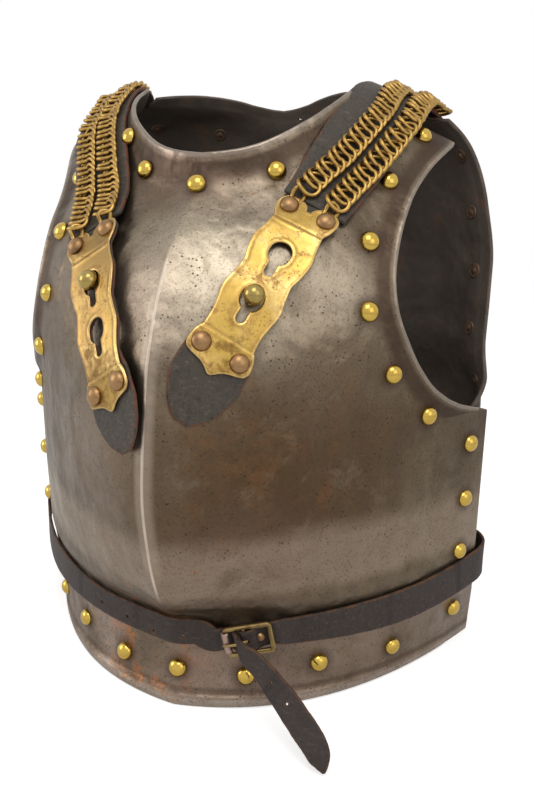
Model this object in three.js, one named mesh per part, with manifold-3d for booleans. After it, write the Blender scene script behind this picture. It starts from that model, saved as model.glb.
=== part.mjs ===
// A heavy-cavalry cuirass: breastplate and backplate, shoulder straps with ring chains and
// keyhole plates, and a waist belt with a roller buckle. Millimetres, +Z up.
// The breast faces -Y and the wearer's left is +X.
import * as THREE from "three";
import { mergeVertices } from "three/addons/utils/BufferGeometryUtils.js";
import Module from "manifold-3d";

const wasm = await Module();
wasm.setup();

// Driving sizes of the two plates
const HALF_WIDTH = 190; // widest point of the breastplate, from the middle
const RIDGE_DEPTH = 177; // the ridge's furthest point, in front of the seam plane's zero
const BACK_DEPTH = 128; // the back's furthest point, behind it
const DOME_HEIGHT = 430; // where the shoulders' dome closes, above the foot
const SEAM_DEPTH = 42; // how far back the breastplate's side edges reach at the foot
const SHOULDER_DEPTH = 30; // how far back the backplate's shoulder edge stands
const STEEL = 2.4; // thickness of both plates
const SEAM_CLEARANCE = 1.2; // breastplate's inside to backplate's outside, where they lap
const SEAM_LAP = 16; // how far the backplate's edge reaches in under the breastplate's
const NECK_FLARE = 13;
const NECK_COVE = 22; // width of the hollow beside the neck rim
const ARM_FLARE = 4;
const ARM_COVE = 18;
const BACK_FLARE = 5.5;
const FLARE_RUNOUT = 24; // the arm rims' flare fades towards the seams over this height
const BEAD_WIDTH = 8; // the rolled bead along the foot
const BEAD_OUT = 1.8; // how far the bead stands out of the flange
const BEAD_IN = 2.2; // and how far into the hollow
const BEAD_RUNOUT = 14; // the bead fades out towards the seams over this length
const RIM_EXTRA = 0.8; // extra thickness right at a rim
const RIM_BAND = 5;
const RIM_ROUND_SHARE = 0.45;

// Profiles of the breastplate over its height: pairs of a share of DOME_HEIGHT and a value
const WIDTH_SHARES = [
  [0, 0.989], [0.056, 0.995], [0.107, 1], [0.572, 1], [0.651, 0.984], [0.709, 0.963],
  [0.749, 0.937], [0.793, 0.9], [0.828, 0.868], [0.874, 0.816], [0.907, 0.753],
  [0.935, 0.632], [0.967, 0.421], [1, 0.316],
];
const RIDGE_SHARES = [
  [0, 0.757], [0.056, 0.717], [0.107, 0.706], [0.14, 0.717], [0.163, 0.757], [0.19, 0.842],
  [0.242, 0.915], [0.298, 0.96], [0.395, 1], [0.505, 0.977], [0.572, 0.949], [0.651, 0.876],
  [0.709, 0.797], [0.749, 0.712], [0.793, 0.582], [0.828, 0.492], [0.874, 0.384],
  [0.907, 0.294], [0.935, 0.215], [0.967, 0.113], [1, 0.045],
];
const EDGE_DEPTH_SHARES = [
  [0, 1], [0.056, 0.86], [0.107, 0.71], [0.14, 0.57], [0.163, 0.48], [0.19, 0.38],
  [0.242, 0.31], [0.298, 0.27], [0.395, 0.24], [0.505, 0.19], [0.572, 0.14], [0.651, 0.14],
  [0.709, 0.19], [0.749, 0.24], [0.793, 0.31], [0.828, 0.36], [0.874, 0.38], [1, 0.38],
];
// Slopes of a level cut, at the ridge and at the side edge: depth over width
const RIDGE_SLOPE_SHARES = [
  [0, 0.15], [0.107, 0.18], [0.14, 0.22], [0.163, 0.3], [0.19, 0.4], [0.242, 0.45],
  [0.793, 0.45], [0.874, 0.38], [0.935, 0.3], [1, 0.3],
];
const EDGE_SLOPE_SHARES = [
  [0, 2.1], [0.056, 2], [0.107, 1.9], [0.14, 1.85], [0.163, 1.8], [0.19, 1.75], [0.242, 1.65],
  [0.505, 1.65], [0.572, 1.75], [0.651, 1.8], [0.749, 1.8], [0.793, 1.7], [0.874, 1.45],
  [0.935, 1.2], [1, 1],
];
// Profiles of the backplate
const SPINE_SHARES = [
  [0, 0.92], [0.07, 0.84], [0.13, 0.8], [0.21, 0.86], [0.35, 0.95], [0.5, 1], [0.7, 1],
  [0.837, 0.92], [0.93, 0.83], [0.972, 0.76], [1, 0.7], [1.05, 0.6],
];
const SHOULDER_WIDTH_SHARES = [
  [0.45, 0.955], [0.7, 0.97], [0.802, 0.925], [0.88, 0.85], [0.93, 0.747], [0.955, 0.621],
  [0.974, 0.432], [1, 0.36], [1.05, 0.3],
];
const SHOULDER_EDGE_SHARES = [[0.45, 0.1], [0.7, 0.3], [0.814, 0.7], [0.895, 1], [1.05, 1]];

// Outlines, as shares of HALF_WIDTH across and DOME_HEIGHT up
const NECK_OUTLINE_SHARES = [
  [0, 0.842], [0.07, 0.844], [0.179, 0.858], [0.242, 0.874], [0.305, 0.893], [0.342, 0.905],
  [0.395, 0.93], [0.421, 0.951], [0.424, 0.966],
];
const ARM_OUTLINE_SHARES = [
  [1, 0.458], [0.9, 0.479], [0.82, 0.509], [0.763, 0.551], [0.724, 0.591], [0.684, 0.64],
  [0.663, 0.691], [0.661, 0.731], [0.668, 0.776], [0.684, 0.816], [0.718, 0.853],
  [0.758, 0.88], [0.784, 0.895],
];
// The backplate's outlines: shares of the way round from the spine, and of DOME_HEIGHT up
const BACK_NECK_SHARES = [
  [0, 0.966], [0.2, 0.975], [0.36, 0.984], [0.55, 0.987], [0.8, 0.981], [1, 0.972],
];
const BACK_ARM_SHARES = [
  [1, 0.458], [0.95, 0.477], [0.91, 0.51], [0.88, 0.56], [0.87, 0.63], [0.865, 0.71],
  [0.875, 0.785], [0.905, 0.85], [0.95, 0.9], [1, 0.93],
];

// Rivets on the breastplate: shares of HALF_WIDTH across and of DOME_HEIGHT up
const RIVET_RADIUS = 6.8;
const RIVET_HEIGHT = 5;
const SHANK_RADIUS = 2;
const HOLE_CLEARANCE = 0.4;
const SEAT_GAP = 0.35; // between a piece and the surface that it seats on
const RIVET_SIDES = 8;
const SHANK_END = 0.5; // a shank's end stands this far inside its plate
const RIVET_SHARES = {
  neck_centre: [0, 0.821],
  neck_inner: [0.244, 0.842],
  neck_outer: [0.362, 0.891],
  arm_1: [0.688, 0.909],
  arm_2: [0.609, 0.834],
  arm_3: [0.586, 0.745],
  arm_4: [0.61, 0.646],
  arm_5: [0.692, 0.55],
  arm_6: [0.805, 0.473],
  arm_7: [0.95, 0.407],
  side_upper: [0.947, 0.307],
  side_lower: [0.942, 0.206],
  foot_centre: [0, 0.057],
  foot_inner: [0.247, 0.05],
  foot_middle: [0.49, 0.062],
  foot_outer: [0.727, 0.055],
  foot_corner: [0.932, 0.078],
};
const FUSED_RIVETS = ["arm_7_right", "side_upper_right", "side_lower_right", "foot_corner_right"];
const FLUSH_RIVETS = ["neck_outer_left"]; // under a strap
const FUSED_SINK = 0.6; // how far a fused head reaches into the steel
const FLUSH_SHARE = 0.12; // a flush rivet's height over a domed one's

// Studs
const STUD_SHARES = { left: [0.273, 0.666], right: [0.266, 0.673] };
const BALL_RADIUS = 6.5;
const STUD_NECK_RADIUS = 2.6;
const STUD_FOOT_RADIUS = 4.8;
const STUD_FOOT = 1;
const BALL_RISE = 9.9; // ball's centre above the steel
const STUD_SIDES = 12;

// Keyhole plates, measured along the plate from the line through its top rivets
const BRASS = 1.3;
const LINING = 1.9;
const PLATE_TOP = 9; // how far the lobes stand above the top rivets
const PLATE_TIP = 120;
const RIVET_ROW = 106; // top rivets to bottom rivets
const PLATE_RIVET_SPREAD = 13; // each rivet from the plate's middle line
const PLATE_RIVET_RADIUS = 6.2;
const PLATE_RIVET_HEIGHT = 4.5;
const HEAD_GAP = 0.25; // more room under a head on bent brass
const KEYHOLES = [34, 67.5]; // round centres of the two keyholes
const KEYHOLE_RADIUS = 7.4;
const SLOT_RADIUS = 3.4;
const SLOT_RUN = 15;
const LINING_TIPS = { left: 153, right: 146 };
const LINING_INSET = 0.8;
const BRASS_SEAT = 0.9; // between the brass and its lining
const LINING_HOLE_EXTRA = 1.2;
const KEYHOLE_STRETCH = 2.2; // a keyhole's round part is this much longer than wide
const TAB_START_SHARE = 0.74; // of PLATE_TIP, where the lining widens to the tab
const CUT_REACH = 9;
const PLATE_PITCH = 5.5; // between a plate's stations
const LINE_STEP = 1; // between the marks that measure a line down the breast
const PLATE_STANDS = { left: 0.9, right: 4.2 }; // how far each plate's lining stands off
const PLATE_STUD_OFFSETS = { left: KEYHOLES[1], right: KEYHOLES[0] };
const PLATE_LEAN_SHARES = { left: 0.44, right: 0.47 }; // sideways run of a plate per unit of fall
// Half widths of the plate: pairs of a share of PLATE_TIP along it and a half width
const PLATE_EDGE = 19.6;
const PLATE_EDGE_SHARES = [
  [-0.073, 0.75], [-0.05, 0.97], [0, 1.06], [0.05, 1.0], [0.106, 0.86], [0.17, 0.9],
  [0.27, 1.01], [0.36, 0.93], [0.42, 0.84], [0.5, 0.9], [0.575, 0.98], [0.66, 0.9],
  [0.72, 0.85], [0.79, 0.86], [0.85, 1.02], [0.9, 1.06], [0.937, 0.94], [0.947, 0.7],
  [0.957, 0.46], [0.972, 0.27], [0.989, 0.14], [1, 0.04],
];
const TAB_EDGE_SHARES = [
  [0.74, 0.82], [0.8, 0.88], [0.88, 1.05], [0.95, 1.1], [1.02, 1.12], [1.1, 1.02],
  [1.18, 0.79], [1.25, 0.42], [1.285, 0.15],
];
const NOTCH_HALF_WIDTH = 5.2; // between the two lobes at the top
const NOTCH_DEPTH = 9.5;

// Shoulder straps
const STRAP_HALF_WIDTH = 22;
const STRAP_LEATHER = 2.8;
const STRAP_END_GAP = 1.2; // between the strap's end and the lining's
const STRAP_SLACK = 1.5; // between a strap and the steel
const STRAP_CROSSING_SHARES = { left: 0.575, right: 0.588 }; // of HALF_WIDTH, at the shoulder
const STRAP_CLIMB_SHARES = [0.22, 0.44, 0.66, 0.88];
const STRAP_EDGE_SHARE = 0.935; // of DOME_HEIGHT, where a strap leaves the breastplate
const STRAP_CREST_SHARE = 0.75; // of SHOULDER_DEPTH
const STRAP_CREST_HEIGHT_SHARES = { left: 0.9744, right: 0.9767 }; // of DOME_HEIGHT
const STRAP_TILT_SHARE = 0.42; // how far a strap's crest leans outwards
const STRAP_REAR_SHARES = [[0.72, 0.935], [0.66, 0.9]]; // round the back, and up
const STRAP_STEPS = 20;
const CHAIN_HALF_WIDTH = 9.2;
const CHAIN_THICKNESS = 5;
const CHAIN_SPREAD = 11;
const CHAIN_SEAT = 0.8; // between a chain and its leather
const RING_DIP_SHARE = 0.8; // a chain's thickness between two rings
const ANCHOR_SHIFT_SHARE = 0.5;
const CHAIN_SHIFT = { left: 12, right: -3 }; // chains wander sideways at the shoulder
// Pairs of a share of a strap's length and a share of CHAIN_SHIFT
const CHAIN_SHIFT_SHARES = {
  left: [[0, 0], [0.15, 0.13], [0.3, 0.32], [0.45, 0.44], [0.6, 0.52], [0.7, 0.8], [0.8, 1]],
  right: [[0, 0], [0.2, 0.16], [0.4, 0.5], [0.6, 0.84], [0.8, 1]],
};
// The same with shares of CHAIN_SPREAD: the two chains of a strap draw together in the middle
const CHAIN_SPREAD_SHARES = [[0, 1], [0.1, 0.97], [0.25, 0.9], [0.55, 0.9], [0.75, 1]];
const CHAIN_END_SHARE = 0.8; // of a strap's length
const ANCHOR_SHARE = 0.87;
const RING_PITCH = 7.6;
const RING_WAIST_SHARE = 0.72; // a chain's width between two rings
const CHAIN_GAP = 3.5; // between the chain's first ring and the plate's lobes

// Waist belt
const BELT = 2.2;
const BELT_HALF_WIDTH = 13; // at its widest
// Over the front: shares of HALF_WIDTH across, DOME_HEIGHT up and BELT_HALF_WIDTH
const BELT_SHARES = [
  [0, 0.13, 0.6923], [0.34, 0.13, 0.6923], [0.43, 0.134, 0.7308], [0.59, 0.138, 0.8462],
  [0.76, 0.143, 0.9462], [0.93, 0.157, 0.9692], [1, 0.168, 0.9846],
];
const BELT_SLACK = 0.8;
const BELT_STATION_SHARES = [
  0, 0.08, 0.16, 0.24, 0.32, 0.4, 0.47, 0.54, 0.61, 0.68, 0.74, 0.8, 0.86, 0.92, 0.96,
];
const BELT_START_SHARE = 0.4; // where the left piece starts to lie on the steel
// Round the seam: shares of HALF_WIDTH, SEAM_DEPTH, DOME_HEIGHT and BELT_HALF_WIDTH
const BELT_SIDE_SHARES = [
  [1.018, 0.42, 0.166, 0.9846], [1.03, 0.68, 0.17, 0.9923], [1.008, 0.92, 0.175, 1],
  [0.96, 1.1, 0.178, 1], [0.912, 1.34, 0.18, 1],
];

// Buckle
const BUCKLE_PLACE_SHARES = [0.271, 0.698, 0.1274];
const BUCKLE_ALONG = [0.94, 0.27, 0.2];
const BUCKLE_OUT = [0.29, -0.95, -0.09];
const BUCKLE_LENGTH = 34;
const BUCKLE_HEIGHT = 24;
const BUCKLE_BAR = 3.2;
const CENTRE_BAR_RADIUS = 1.3;
const CENTRE_BAR_SHIFT = -2.6; // from the frame's middle, towards the roller
const ROLLER_RADIUS = 2.6;
const ROLLER_WALL = 0.7;
const RUNNING_GAP = 0.35;
const ROD_SIDES = 10;
const LEFT_BAR_RADIUS = 1.5;
const PRONG_RING_RADIUS = 2.75;
const PRONG_HALF_WIDTH = 1.2;
// Tables in the buckle's frame are shares of BUCKLE_LENGTH.
// The prong's arm: along, low face, high face, and a share of its own width
const PRONG_ARM_SHARES = [
  [-0.0765, 0.0588, 0.1, 1], [-0.2353, 0.0868, 0.1324, 1],
  [-0.4118, 0.0882, 0.1294, 0.9], [-0.5471, 0.0882, 0.1147, 0.5],
];
// Openings: from and to along, a half width, and from and to outwards
const PRONG_SLOT_SHARES = [-0.3824, -0.1324, 0.05, 0.0235, 0.2235];
const LOOP_SLOT_SHARES = [-0.2059, 0.0441, 0.0559, -0.1, 0.1353];
const TONGUE_THICKNESS = 2;
// The straps in the buckle: along, out, half width, and a share of TONGUE_THICKNESS
const TONGUE_RISE_SHARES = [
  [-0.7647, -0.1735, 0.2529, 1], [-0.5882, -0.1588, 0.2412, 1], [-0.4529, -0.1559, 0.2324, 1],
  [-0.3529, -0.1235, 0.2294, 1], [-0.2912, -0.0353, 0.2294, 1], [-0.2529, 0.0647, 0.2294, 1],
  [-0.2176, 0.1471, 0.2294, 1],
];
const BELT_END = 26; // where the belt leaves the steel for the buckle
const BELT_LOOP_SHARES = [
  [0.3676, -0.1971, 0.2235, 0.7], [0.1176, -0.1853, 0.2265, 0.7], [-0.0176, -0.1265, 0.2265, 0.7],
  [-0.0853, -0.0735, 0.2265, 0.7], [-0.1294, -0.0471, 0.2265, 0.7], [-0.1485, 0, 0.2265, 0.7],
  [-0.1294, 0.05, 0.2265, 0.7], [-0.0765, 0.0706, 0.2265, 0.7], [0.0441, 0.05, 0.2265, 0.7],
  [0.1765, -0.0294, 0.2294, 0.75], [0.3088, -0.0971, 0.2324, 0.85], [0.4529, -0.1059, 0.2412, 0.95],
  [0.5882, -0.1176, 0.2529, 1.05],
];
const FOLD_RIVET_SHARES = [0.2412, -0.0412]; // along and out
const FOLD_TILT = [0.45, 0, 0.9];
const FOLD_RIVET_RADIUS = 3.2;
const FOLD_GRIP = 6.5;
const BELT_RIVET_SHARES = [0.95, 1.16, 0.179];
const BELT_RIVET_TURN_SHARE = 0.7;
const BELT_RIVET_RADIUS = 5.2;
const BELT_RIVET_LIFT = 0.5; // over the bent leather
const TONGUE_HALF_WIDTH = 8.5;
// The tongue: first along, up and out in the buckle's frame, then shares of HALF_WIDTH,
// RIDGE_DEPTH and DOME_HEIGHT; each with a share of TONGUE_HALF_WIDTH
const TONGUE_START_SHARES = [
  [-0.2029, -0.0029, 0.2029, 0.9294], [-0.1647, -0.0206, 0.2706, 0.9529],
  [-0.0588, -0.0824, 0.3882, 0.9765],
];
const TONGUE_FALL_SHARES = [
  [0.325, 0.784, 0.11, 1], [0.39, 0.825, 0.097, 1], [0.46, 0.865, 0.078, 1],
  [0.52, 0.9, 0.058, 0.9882], [0.567, 0.926, 0.041, 0.9412], [0.595, 0.944, 0.025, 0.7765],
  [0.61, 0.955, 0.012, 0.3529], [0.614, 0.959, 0.006, 0.0941],
];
const TONGUE_END_ACROSS = [0.92, 0.35, 0.2];
const TONGUE_PUNCH_SHARES = [0.35, 0.52]; // of the tongue
const PUNCH_RADIUS = 1.5;

const GOLD = { color: 0xb98a2c, roughness: 0.35, metalness: 1 };
const RIVET_BRASS = { color: 0xb8963a, roughness: 0.25, metalness: 1 };
const COPPERY = { color: 0x8a6440, roughness: 0.4, metalness: 1 };
const OLIVE_BRASS = { color: 0x7d6c38, roughness: 0.3, metalness: 1 };
const OLD_BRASS = { color: 0x8f7440, roughness: 0.45, metalness: 1 };
const BRIGHT_STEEL = { color: 0x8b847b, roughness: 0.38, metalness: 1 };
const DARK_STEEL = { color: 0x4a433d, roughness: 0.55, metalness: 1 };
const LEATHER = { color: 0x39332f, roughness: 0.7, metalness: 0 };
const BELT_LEATHER = { color: 0x3d3230, roughness: 0.6, metalness: 0 };

const UP = new THREE.Vector3(0, 0, 1);
const vector = (x, y, z) => new THREE.Vector3(x, y, z);
const mix = (a, b, t) => a + (b - a) * t;
const ease = (t) => {
  const c = Math.min(1, Math.max(0, t));
  return c * c * (3 - 2 * c);
};

// A smooth curve through pairs that keeps their rises and falls (a monotone cubic).
function profile(pairs) {
  const x = pairs.map((p) => p[0]);
  const y = pairs.map((p) => p[1]);
  const last = x.length - 1;
  const step = x.slice(1).map((v, i) => v - x[i]);
  const rise = step.map((h, i) => (y[i + 1] - y[i]) / h);
  const slope = x.map((_, i) => {
    if (i === 0) return rise[0];
    if (i === last) return rise[last - 1];
    if (rise[i - 1] * rise[i] <= 0) return 0;
    const a = 2 * step[i] + step[i - 1];
    const b = step[i] + 2 * step[i - 1];
    return (a + b) / (a / rise[i - 1] + b / rise[i]);
  });
  return (at) => {
    const v = Math.min(x[last], Math.max(x[0], at));
    let i = 0;
    while (i < last - 1 && v > x[i + 1]) i += 1;
    const t = (v - x[i]) / step[i];
    const u = 1 - t;
    return (
      y[i] * u * u * (1 + 2 * t) +
      slope[i] * step[i] * t * u * u +
      y[i + 1] * t * t * (3 - 2 * t) -
      slope[i + 1] * step[i] * t * t * u
    );
  };
}

// Forms of the breastplate

const widthAt = profile(WIDTH_SHARES);
const ridgeAt = profile(RIDGE_SHARES);
const edgeDepthAt = profile(EDGE_DEPTH_SHARES);
const ridgeSlopeAt = profile(RIDGE_SLOPE_SHARES);
const edgeSlopeAt = profile(EDGE_SLOPE_SHARES);
const halfWidth = (z) => HALF_WIDTH * widthAt(z / DOME_HEIGHT);

// The breastplate's outer surface before its rims are flared: a cubic across each level cut.
function breastDepth(x, z) {
  const level = z / DOME_HEIGHT;
  const width = halfWidth(z);
  const q = Math.abs(x) / width;
  const start = -RIDGE_DEPTH * ridgeAt(level);
  const end = SEAM_DEPTH * edgeDepthAt(level);
  const rest = q * q * (3 - 2 * q);
  return (
    start * (1 - rest) +
    end * rest +
    ridgeSlopeAt(level) * width * q * (1 - q) * (1 - q) -
    edgeSlopeAt(level) * width * q * q * (1 - q)
  );
}
const breastPoint = (x, z) => vector(x, breastDepth(x, z), z);
const breastSection = (s, z) => breastPoint(s * halfWidth(z), z);

// Unit normal of a surface point(u, v), by small steps.
function normalOf(point, u, v, du, dv) {
  const across = point(u + du, v).sub(point(u - du, v));
  const up = point(u, v + dv).sub(point(u, v - dv));
  return across.cross(up).normalize();
}
const NORMAL_STEP = HALF_WIDTH / 400;
const breastNormal = (x, z) => normalOf(breastPoint, x, z, NORMAL_STEP, NORMAL_STEP);

// Forms of the backplate

const spineAt = profile(SPINE_SHARES);
const shoulderWidthAt = profile(SHOULDER_WIDTH_SHARES);
const shoulderEdgeAt = profile(SHOULDER_EDGE_SHARES);
const LAP_TOP_SHARE = ARM_OUTLINE_SHARES[0][1];
const LAP_FADE_SHARE = 0.12;
const SPINE_PULL_SHARE = 1.55; // how squarely a level cut leaves the spine
const EDGE_PULL_SHARE = 1.15; // and how far the lapped edge turns under

// A level cut of the backplate from the spine, s = 0, to its front edge, s = 1.
function backSection(s, z) {
  const level = z / DOME_HEIGHT;
  const width = halfWidth(Math.min(z, LAP_TOP_SHARE * DOME_HEIGHT));
  const slope = edgeSlopeAt(Math.min(level, LAP_TOP_SHARE));
  const run = Math.hypot(1, slope);
  const along = vector(1 / run, slope / run, 0);
  const out = vector(slope / run, -1 / run, 0);
  const lapped = vector(width, SEAM_DEPTH * edgeDepthAt(Math.min(level, LAP_TOP_SHARE)), z)
    .addScaledVector(along, -SEAM_LAP)
    .addScaledVector(out, -STEEL - SEAM_CLEARANCE);
  const shoulder = vector(
    HALF_WIDTH * shoulderWidthAt(level),
    SHOULDER_DEPTH * shoulderEdgeAt(level),
    z,
  );
  const fade = ease((level - LAP_TOP_SHARE) / LAP_FADE_SHARE);
  const end = lapped.lerp(shoulder, fade);
  const turn = along.clone().negate().lerp(vector(0, -1, 0), fade).normalize();
  const spine = vector(0, BACK_DEPTH * spineAt(level), z);
  const spinePull = SPINE_PULL_SHARE * end.x * mix(1, 0.85, fade);
  const edgePull = EDGE_PULL_SHARE * end.x * mix(1, 0.75, fade);
  const rest = s * s * (3 - 2 * s);
  const point = spine.multiplyScalar(1 - rest).addScaledVector(end, rest);
  point.x += spinePull * s * (1 - s) * (1 - s);
  point.addScaledVector(turn, -edgePull * s * s * (1 - s));
  point.z = z;
  return point;
}

// Meshes and solids

// A closed geometry from points and triangles, turned so that its faces point outwards.
function closedGeometry(points, triangles) {
  let volume = 0;
  for (const [a, b, c] of triangles)
    volume += points[a].dot(points[b].clone().cross(points[c]));
  const flip = volume < 0;
  const geometry = new THREE.BufferGeometry();
  geometry.setAttribute(
    "position",
    new THREE.Float32BufferAttribute(points.flatMap((p) => [p.x, p.y, p.z]), 3),
  );
  geometry.setIndex(triangles.flatMap(([a, b, c]) => (flip ? [a, c, b] : [a, b, c])));
  return geometry;
}

function solidOf(geometry) {
  const bare = geometry.clone();
  bare.deleteAttribute("normal");
  bare.deleteAttribute("uv");
  const merged = mergeVertices(bare, 1e-3);
  return new wasm.Manifold(
    new wasm.Mesh({
      numProp: 3,
      vertProperties: merged.attributes.position.array,
      triVerts: new Uint32Array(merged.index.array),
    }),
  );
}

function geometryOf(solid) {
  const mesh = solid.getMesh();
  const geometry = new THREE.BufferGeometry();
  geometry.setAttribute("position", new THREE.BufferAttribute(mesh.vertProperties, 3));
  geometry.setIndex(new THREE.BufferAttribute(mesh.triVerts, 1));
  return geometry;
}

const cutFrom = (geometry, cutters) =>
  geometryOf(cutters.reduce((solid, c) => solid.subtract(solidOf(c)), solidOf(geometry)));
const joined = (geometries) =>
  geometryOf(geometries.slice(1).reduce((solid, g) => solid.add(solidOf(g)), solidOf(geometries[0])));

// A band swept through stations: each has a place, an across and a normal direction, a reach
// to each side, and a low and a high face.
function band(stations) {
  const points = [];
  const triangles = [];
  for (const s of stations)
    for (const [w, h] of [[-s.left, s.low], [s.right, s.low], [s.right, s.high], [-s.left, s.high]])
      points.push(s.at.clone().addScaledVector(s.across, w).addScaledVector(s.normal, h));
  for (let i = 0; i + 1 < stations.length; i += 1)
    for (let k = 0; k < 4; k += 1) {
      const [a, b] = [4 * i + k, 4 * i + ((k + 1) % 4)];
      triangles.push([a, b, b + 4], [a, b + 4, a + 4]);
    }
  const end = 4 * (stations.length - 1);
  triangles.push([0, 2, 1], [0, 3, 2], [end, end + 1, end + 2], [end, end + 2, end + 3]);
  return closedGeometry(points, triangles);
}

// A turned piece whose axis is its own +Z, from a profile of radius and height pairs.
function turned(pairs, sides) {
  const geometry = new THREE.LatheGeometry(pairs.map(([r, h]) => new THREE.Vector2(r, h)), sides);
  return geometry.rotateX(Math.PI / 2);
}

// Moves a geometry made round its own +Z to a place, with +Z turned to a direction.
function placed(geometry, at, direction) {
  const turn = new THREE.Quaternion().setFromUnitVectors(UP, direction);
  return geometry.applyQuaternion(turn).translate(at.x, at.y, at.z);
}

// An extruded outline in the plane of across and along, from low to high on the normal.
function prism(outline, at, across, along, low, high) {
  const normal = across.clone().cross(along).normalize();
  const geometry = new THREE.ExtrudeGeometry(new THREE.Shape(outline), {
    depth: high - low,
    bevelEnabled: false,
  });
  geometry.translate(0, 0, low);
  return geometry.applyMatrix4(
    new THREE.Matrix4().makeBasis(across, along, normal).setPosition(at),
  );
}

const root = new THREE.Group();
root.name = "cuirass";

function addPiece(name, geometry, finish) {
  const mesh = new THREE.Mesh(geometry, new THREE.MeshStandardMaterial(finish));
  mesh.name = name;
  root.add(mesh);
  return mesh;
}

// Plates

// Points of an outline in section coordinates, evenly along it.
function outlineCurve(pairs, count) {
  const curve = new THREE.CatmullRomCurve3(
    pairs.map(([s, z]) => vector(s, 0, z)),
    false,
    "centripetal",
  );
  return curve.getSpacedPoints(count).map((p) => [p.x, p.z]);
}

// Height levels and steps of the plates' nets
const FOOT_LEVEL_SHARES = [
  0, 0.004, 0.0115, 0.0187, 0.055, 0.1, 0.135, 0.157, 0.178, 0.21, 0.27, 0.35, 0.44, 0.53,
  0.61, 0.68, 0.74,
];
const NECK_STEPS = 7;
const COVE_STEP_SHARES = [0, 0.25, 0.68];
const FIELD_STEPS = 6;
const ARM_STEPS = 24;
const SIDE_ROW_SHARE = 0.93; // of the arm's foot: where the net's rows turn from side to arm

// Nearest distance from a point to a list of points, as segments.
function distanceTo(point, line) {
  let best = Infinity;
  const segment = new THREE.Line3();
  const nearest = new THREE.Vector3();
  for (let i = 0; i + 1 < line.length; i += 1) {
    segment.set(line[i], line[i + 1]);
    segment.closestPointToPoint(point, true, nearest);
    best = Math.min(best, nearest.distanceTo(point));
  }
  return best;
}

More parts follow.
